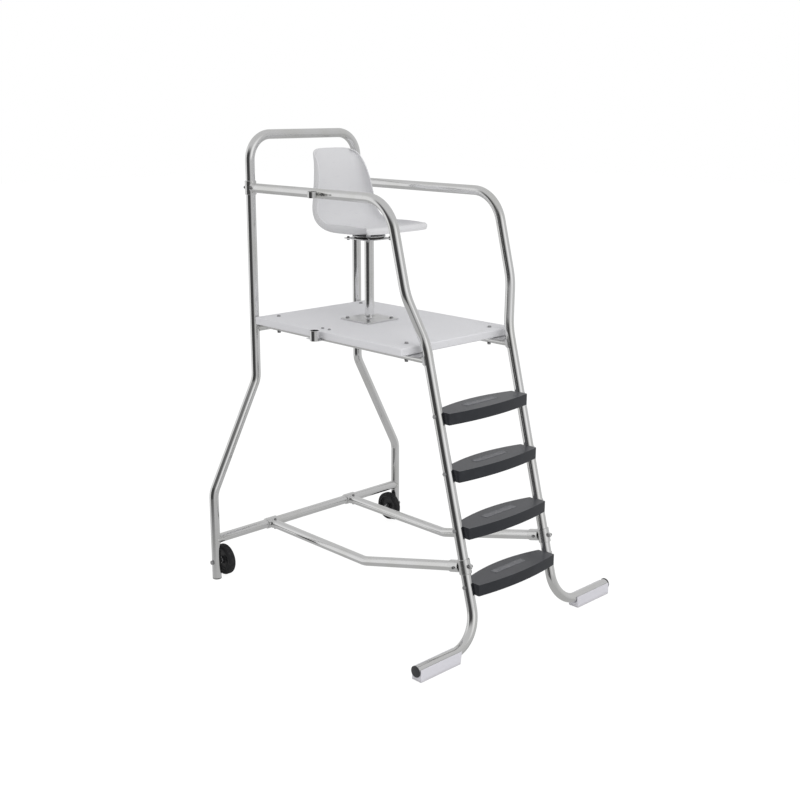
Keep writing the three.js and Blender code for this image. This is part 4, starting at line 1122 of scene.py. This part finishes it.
# Tube plugs: moulded black caps pressed into the ends of the feet and of the rear legs.
# Each has a rim that covers the tube's end and a sleeve that grips inside it.
plug_radius = 27
plug_rim = 5
plug_reach = 24
plug_out = 5.3
plug_round = [(0, 3), (0.8, 1.2), (2.2, 0)]
tip_round = [(0, 2), (1.5, 0)]
tip_rim = 5.7
tip_reach = 26
sleeve_radius = 21
sleeve_end = 20.5
sleeve_bore = 17

plug_plastic, inputs, place = new_finish("plug_plastic", Specular_IOR_Level=0.4)
mould = place.noise(800, 2)
colour = mould.blend(tone(52, 52, 54), tone(64, 64, 66))
paint(inputs, colour, 0.4 + mould * 0.15, mould, 0.0002, 0.4)


def cap(start, heading, radius, rounding, rim, reach):
    """A cap with a rounded rim on the end of a tube and a sleeve inside it."""
    return Form().turned(start, heading, [
        *((rise, radius - inset) for rise, inset in rounding), (rim, radius),
        (rim, sleeve_radius), (reach, sleeve_end), (reach, sleeve_bore),
    ], tube_sides)


for name, side in both_sides:
    plug_face = (side * (foot_half_span + plug_out), foot_y, foot_height)
    plug = cap(plug_face, -side * x_way, plug_radius, plug_round, plug_rim, plug_reach)
    fit(f"{name}_foot_cap", plug, plug_plastic, f"{name}_foot_plug")
    tip = cap((side * leg_half, 0, 0), z_way, tube_radius, tip_round, tip_rim, tip_reach)
    fit(f"{name}_leg_cap", tip, plug_plastic, f"{name}_leg_tip")

# Wheels: a solid rubber tyre on a hub moulded in black plastic with a thin web and a thick boss.
# Each turns on a steel bolt through the leg, with a spacer between them and a nut on the inside.
wheel_radius = 83
wheel_half = 19
wheel_height = 96
wheel_x = 613.85
wheel_sides = 96
tread_round = [(0, 72), (0.8, 76), (2.6, 79.4), (5, 81.6), (8, 82.7), (12, wheel_radius)]
hub_radius = 63
rim_inner = 57
boss = 19
boss_draft = 0.5
rim_draft = 1
hub_edge = 1
web_half = 6
web_round = 3
web_fillet = 4
axle_radius = 6.35
axle_gap = 0.4
axle_head_width = 21
axle_head_height = 8
axle_nut_height = 9
axle_tail = 13
axle_point = 1.5
axle_washer_height = 2
axle_washer = [(-3, 13), (1.5, 13), (axle_washer_height, 12)]
axle_spacer = [(0, 12.7), (8, 12.7), (8, 18), (9.7, 18)]
spacer_sunk = 2
nut_washer_height = 1.6
nut_washer = [(0, 13), (nut_washer_height, 13)]
nut_washer_gap = 0.3

rubber, inputs, place = new_finish("rubber", Specular_IOR_Level=0.3)
chalk = place.noise(45, 4, 0.6)
colour = chalk.between(0.45, 0.8).blend(tone(34, 34, 36), tone(56, 55, 54))
paint(inputs, colour, 0.62 + chalk * 0.2, place.noise(600, 3), 0.0004, 0.5)

hub_plastic, inputs, place = new_finish("hub_plastic", Specular_IOR_Level=0.4)
speck = place.noise(500, 2)
colour = speck.blend(tone(30, 30, 32), tone(40, 40, 42))
paint(inputs, colour, 0.36 + speck * 0.14, speck, 0.0002, 0.4)

for name, side in both_sides:
    middle = (side * wheel_x, 0, wheel_height)
    tyre = Form().turned(middle, x_way, mirrored([
        (wheel_half, hub_radius + fit_gap), *((wheel_half - inset, radius) for inset, radius in tread_round),
    ]), wheel_sides, closed=True)
    fit(f"{name}_tyre_rubber", tyre, rubber, f"{name}_tyre", body=f"{name}_wheel")
    hub = Form().turned(middle, x_way, mirrored([
        (wheel_half, axle_radius + axle_gap), (wheel_half, boss - hub_edge), (wheel_half - hub_edge, boss),
        (web_half + web_round, boss + boss_draft), (web_half, boss + web_fillet),
        (web_half, rim_inner - web_fillet), (web_half + web_round, rim_inner),
        (wheel_half, rim_inner + rim_draft), (wheel_half, hub_radius),
    ]), wheel_sides, closed=True)
    fit(f"{name}_hub_moulding", hub, hub_plastic, f"{name}_hub", body=f"{name}_wheel")
    outward = x_way * side
    face = Vector((side * (leg_half + tube_radius), 0, wheel_height))
    inner = Vector((side * (wheel_x - wheel_half), 0, wheel_height))
    length = abs(face.x - inner.x) + axle_tail
    axle = Form().turned(face, outward, axle_washer)
    axle.hexagon(face + outward * axle_washer_height, outward, axle_head_width, axle_head_height)
    axle.turned(face, -outward, [
        (0, axle_radius), (length, axle_radius), (length + axle_point, axle_radius - axle_point),
    ], small_sides)
    axle.turned(face - outward * (2 * tube_radius - spacer_sunk), -outward, axle_spacer)
    axle.turned(inner - outward * nut_washer_gap, -outward, nut_washer)
    nut = inner - outward * (nut_washer_gap + nut_washer_height)
    axle.hexagon(nut, -outward, axle_head_width, axle_nut_height)
    fit(f"{name}_axle_hex", axle, fastener_steel, f"{name}_axle_bolt")

# Pole holders on the left: a steel ring on a tab that is screwed to the handrail holds a pole's
# shaft, and a steel cup on a plate that is bolted under the platform holds its foot.
holder_x = -430
pole_y = -572
holder_outer = 24
holder_inner = 20.4
ring_half = 15
tab_reach = 54
tab_root_half = 10
tab_tip_half = 5.5
tab_thickness = 6
clip_screws = (0.3, 0.82)
clip_screw_width = 9
clip_screw_height = 4
bridge_half = 3.6
bridge_start = 1
bridge_end = 3
bridge_edge = 1
holder_edge = 0.6
cup_plate_top = 1360.7
cup_top = 1408.7
cup_drain = 12
cup_plate_edge = 0.8
cup_plate_y = -552
cup_plate_half = 46
cup_plate_end = -308

ring = Form().turned((holder_x, pole_y, rail_height), z_way, mirrored([
    (ring_half, holder_inner), (ring_half, holder_outer - holder_edge),
    (ring_half - holder_edge, holder_outer),
]), tube_sides, closed=True)
tab_inner = -upper_half - tube_radius
tab_outer = tab_inner - tab_thickness
ring.skin([[
    (x, pole_y, rail_height - tab_root_half), (x, pole_y, rail_height + tab_root_half),
    (x, pole_y - tab_reach, rail_height + tab_tip_half), (x, pole_y - tab_reach, rail_height - tab_tip_half),
] for x in (tab_outer, tab_inner)])
ring.block(
    (holder_x + holder_inner + bridge_start, pole_y - bridge_half, rail_height - tab_root_half),
    (tab_inner - bridge_end, pole_y + bridge_half, rail_height + tab_root_half), bridge_edge)
fit("pole_ring", ring, polished_steel, "pole_holder_upper")
screws = Form()
for share in clip_screws:
    spot = (tab_outer, pole_y - share * tab_reach, rail_height)
    cap_screw(screws, spot, -x_way, clip_screw_width, clip_screw_height)
fit("pole_ring_screws", screws, dark_steel, "pole_holder_upper")

cup = Form().turned((holder_x, pole_y, 0), z_way, [
    (cup_low, cup_drain), (cup_low, holder_outer - holder_edge), (cup_low + holder_edge, holder_outer),
    (cup_top - holder_edge, holder_outer), (cup_top, holder_outer - holder_edge),
    (cup_top, holder_inner), (cup_plate_top, holder_inner), (cup_plate_top, cup_drain),
], tube_sides, closed=True)
cup.block(
    (holder_x, cup_plate_y - cup_plate_half, cup_low),
    (cup_plate_end, cup_plate_y + cup_plate_half, cup_plate_top), cup_plate_edge)
fit("pole_cup", cup, polished_steel, "pole_holder_lower")
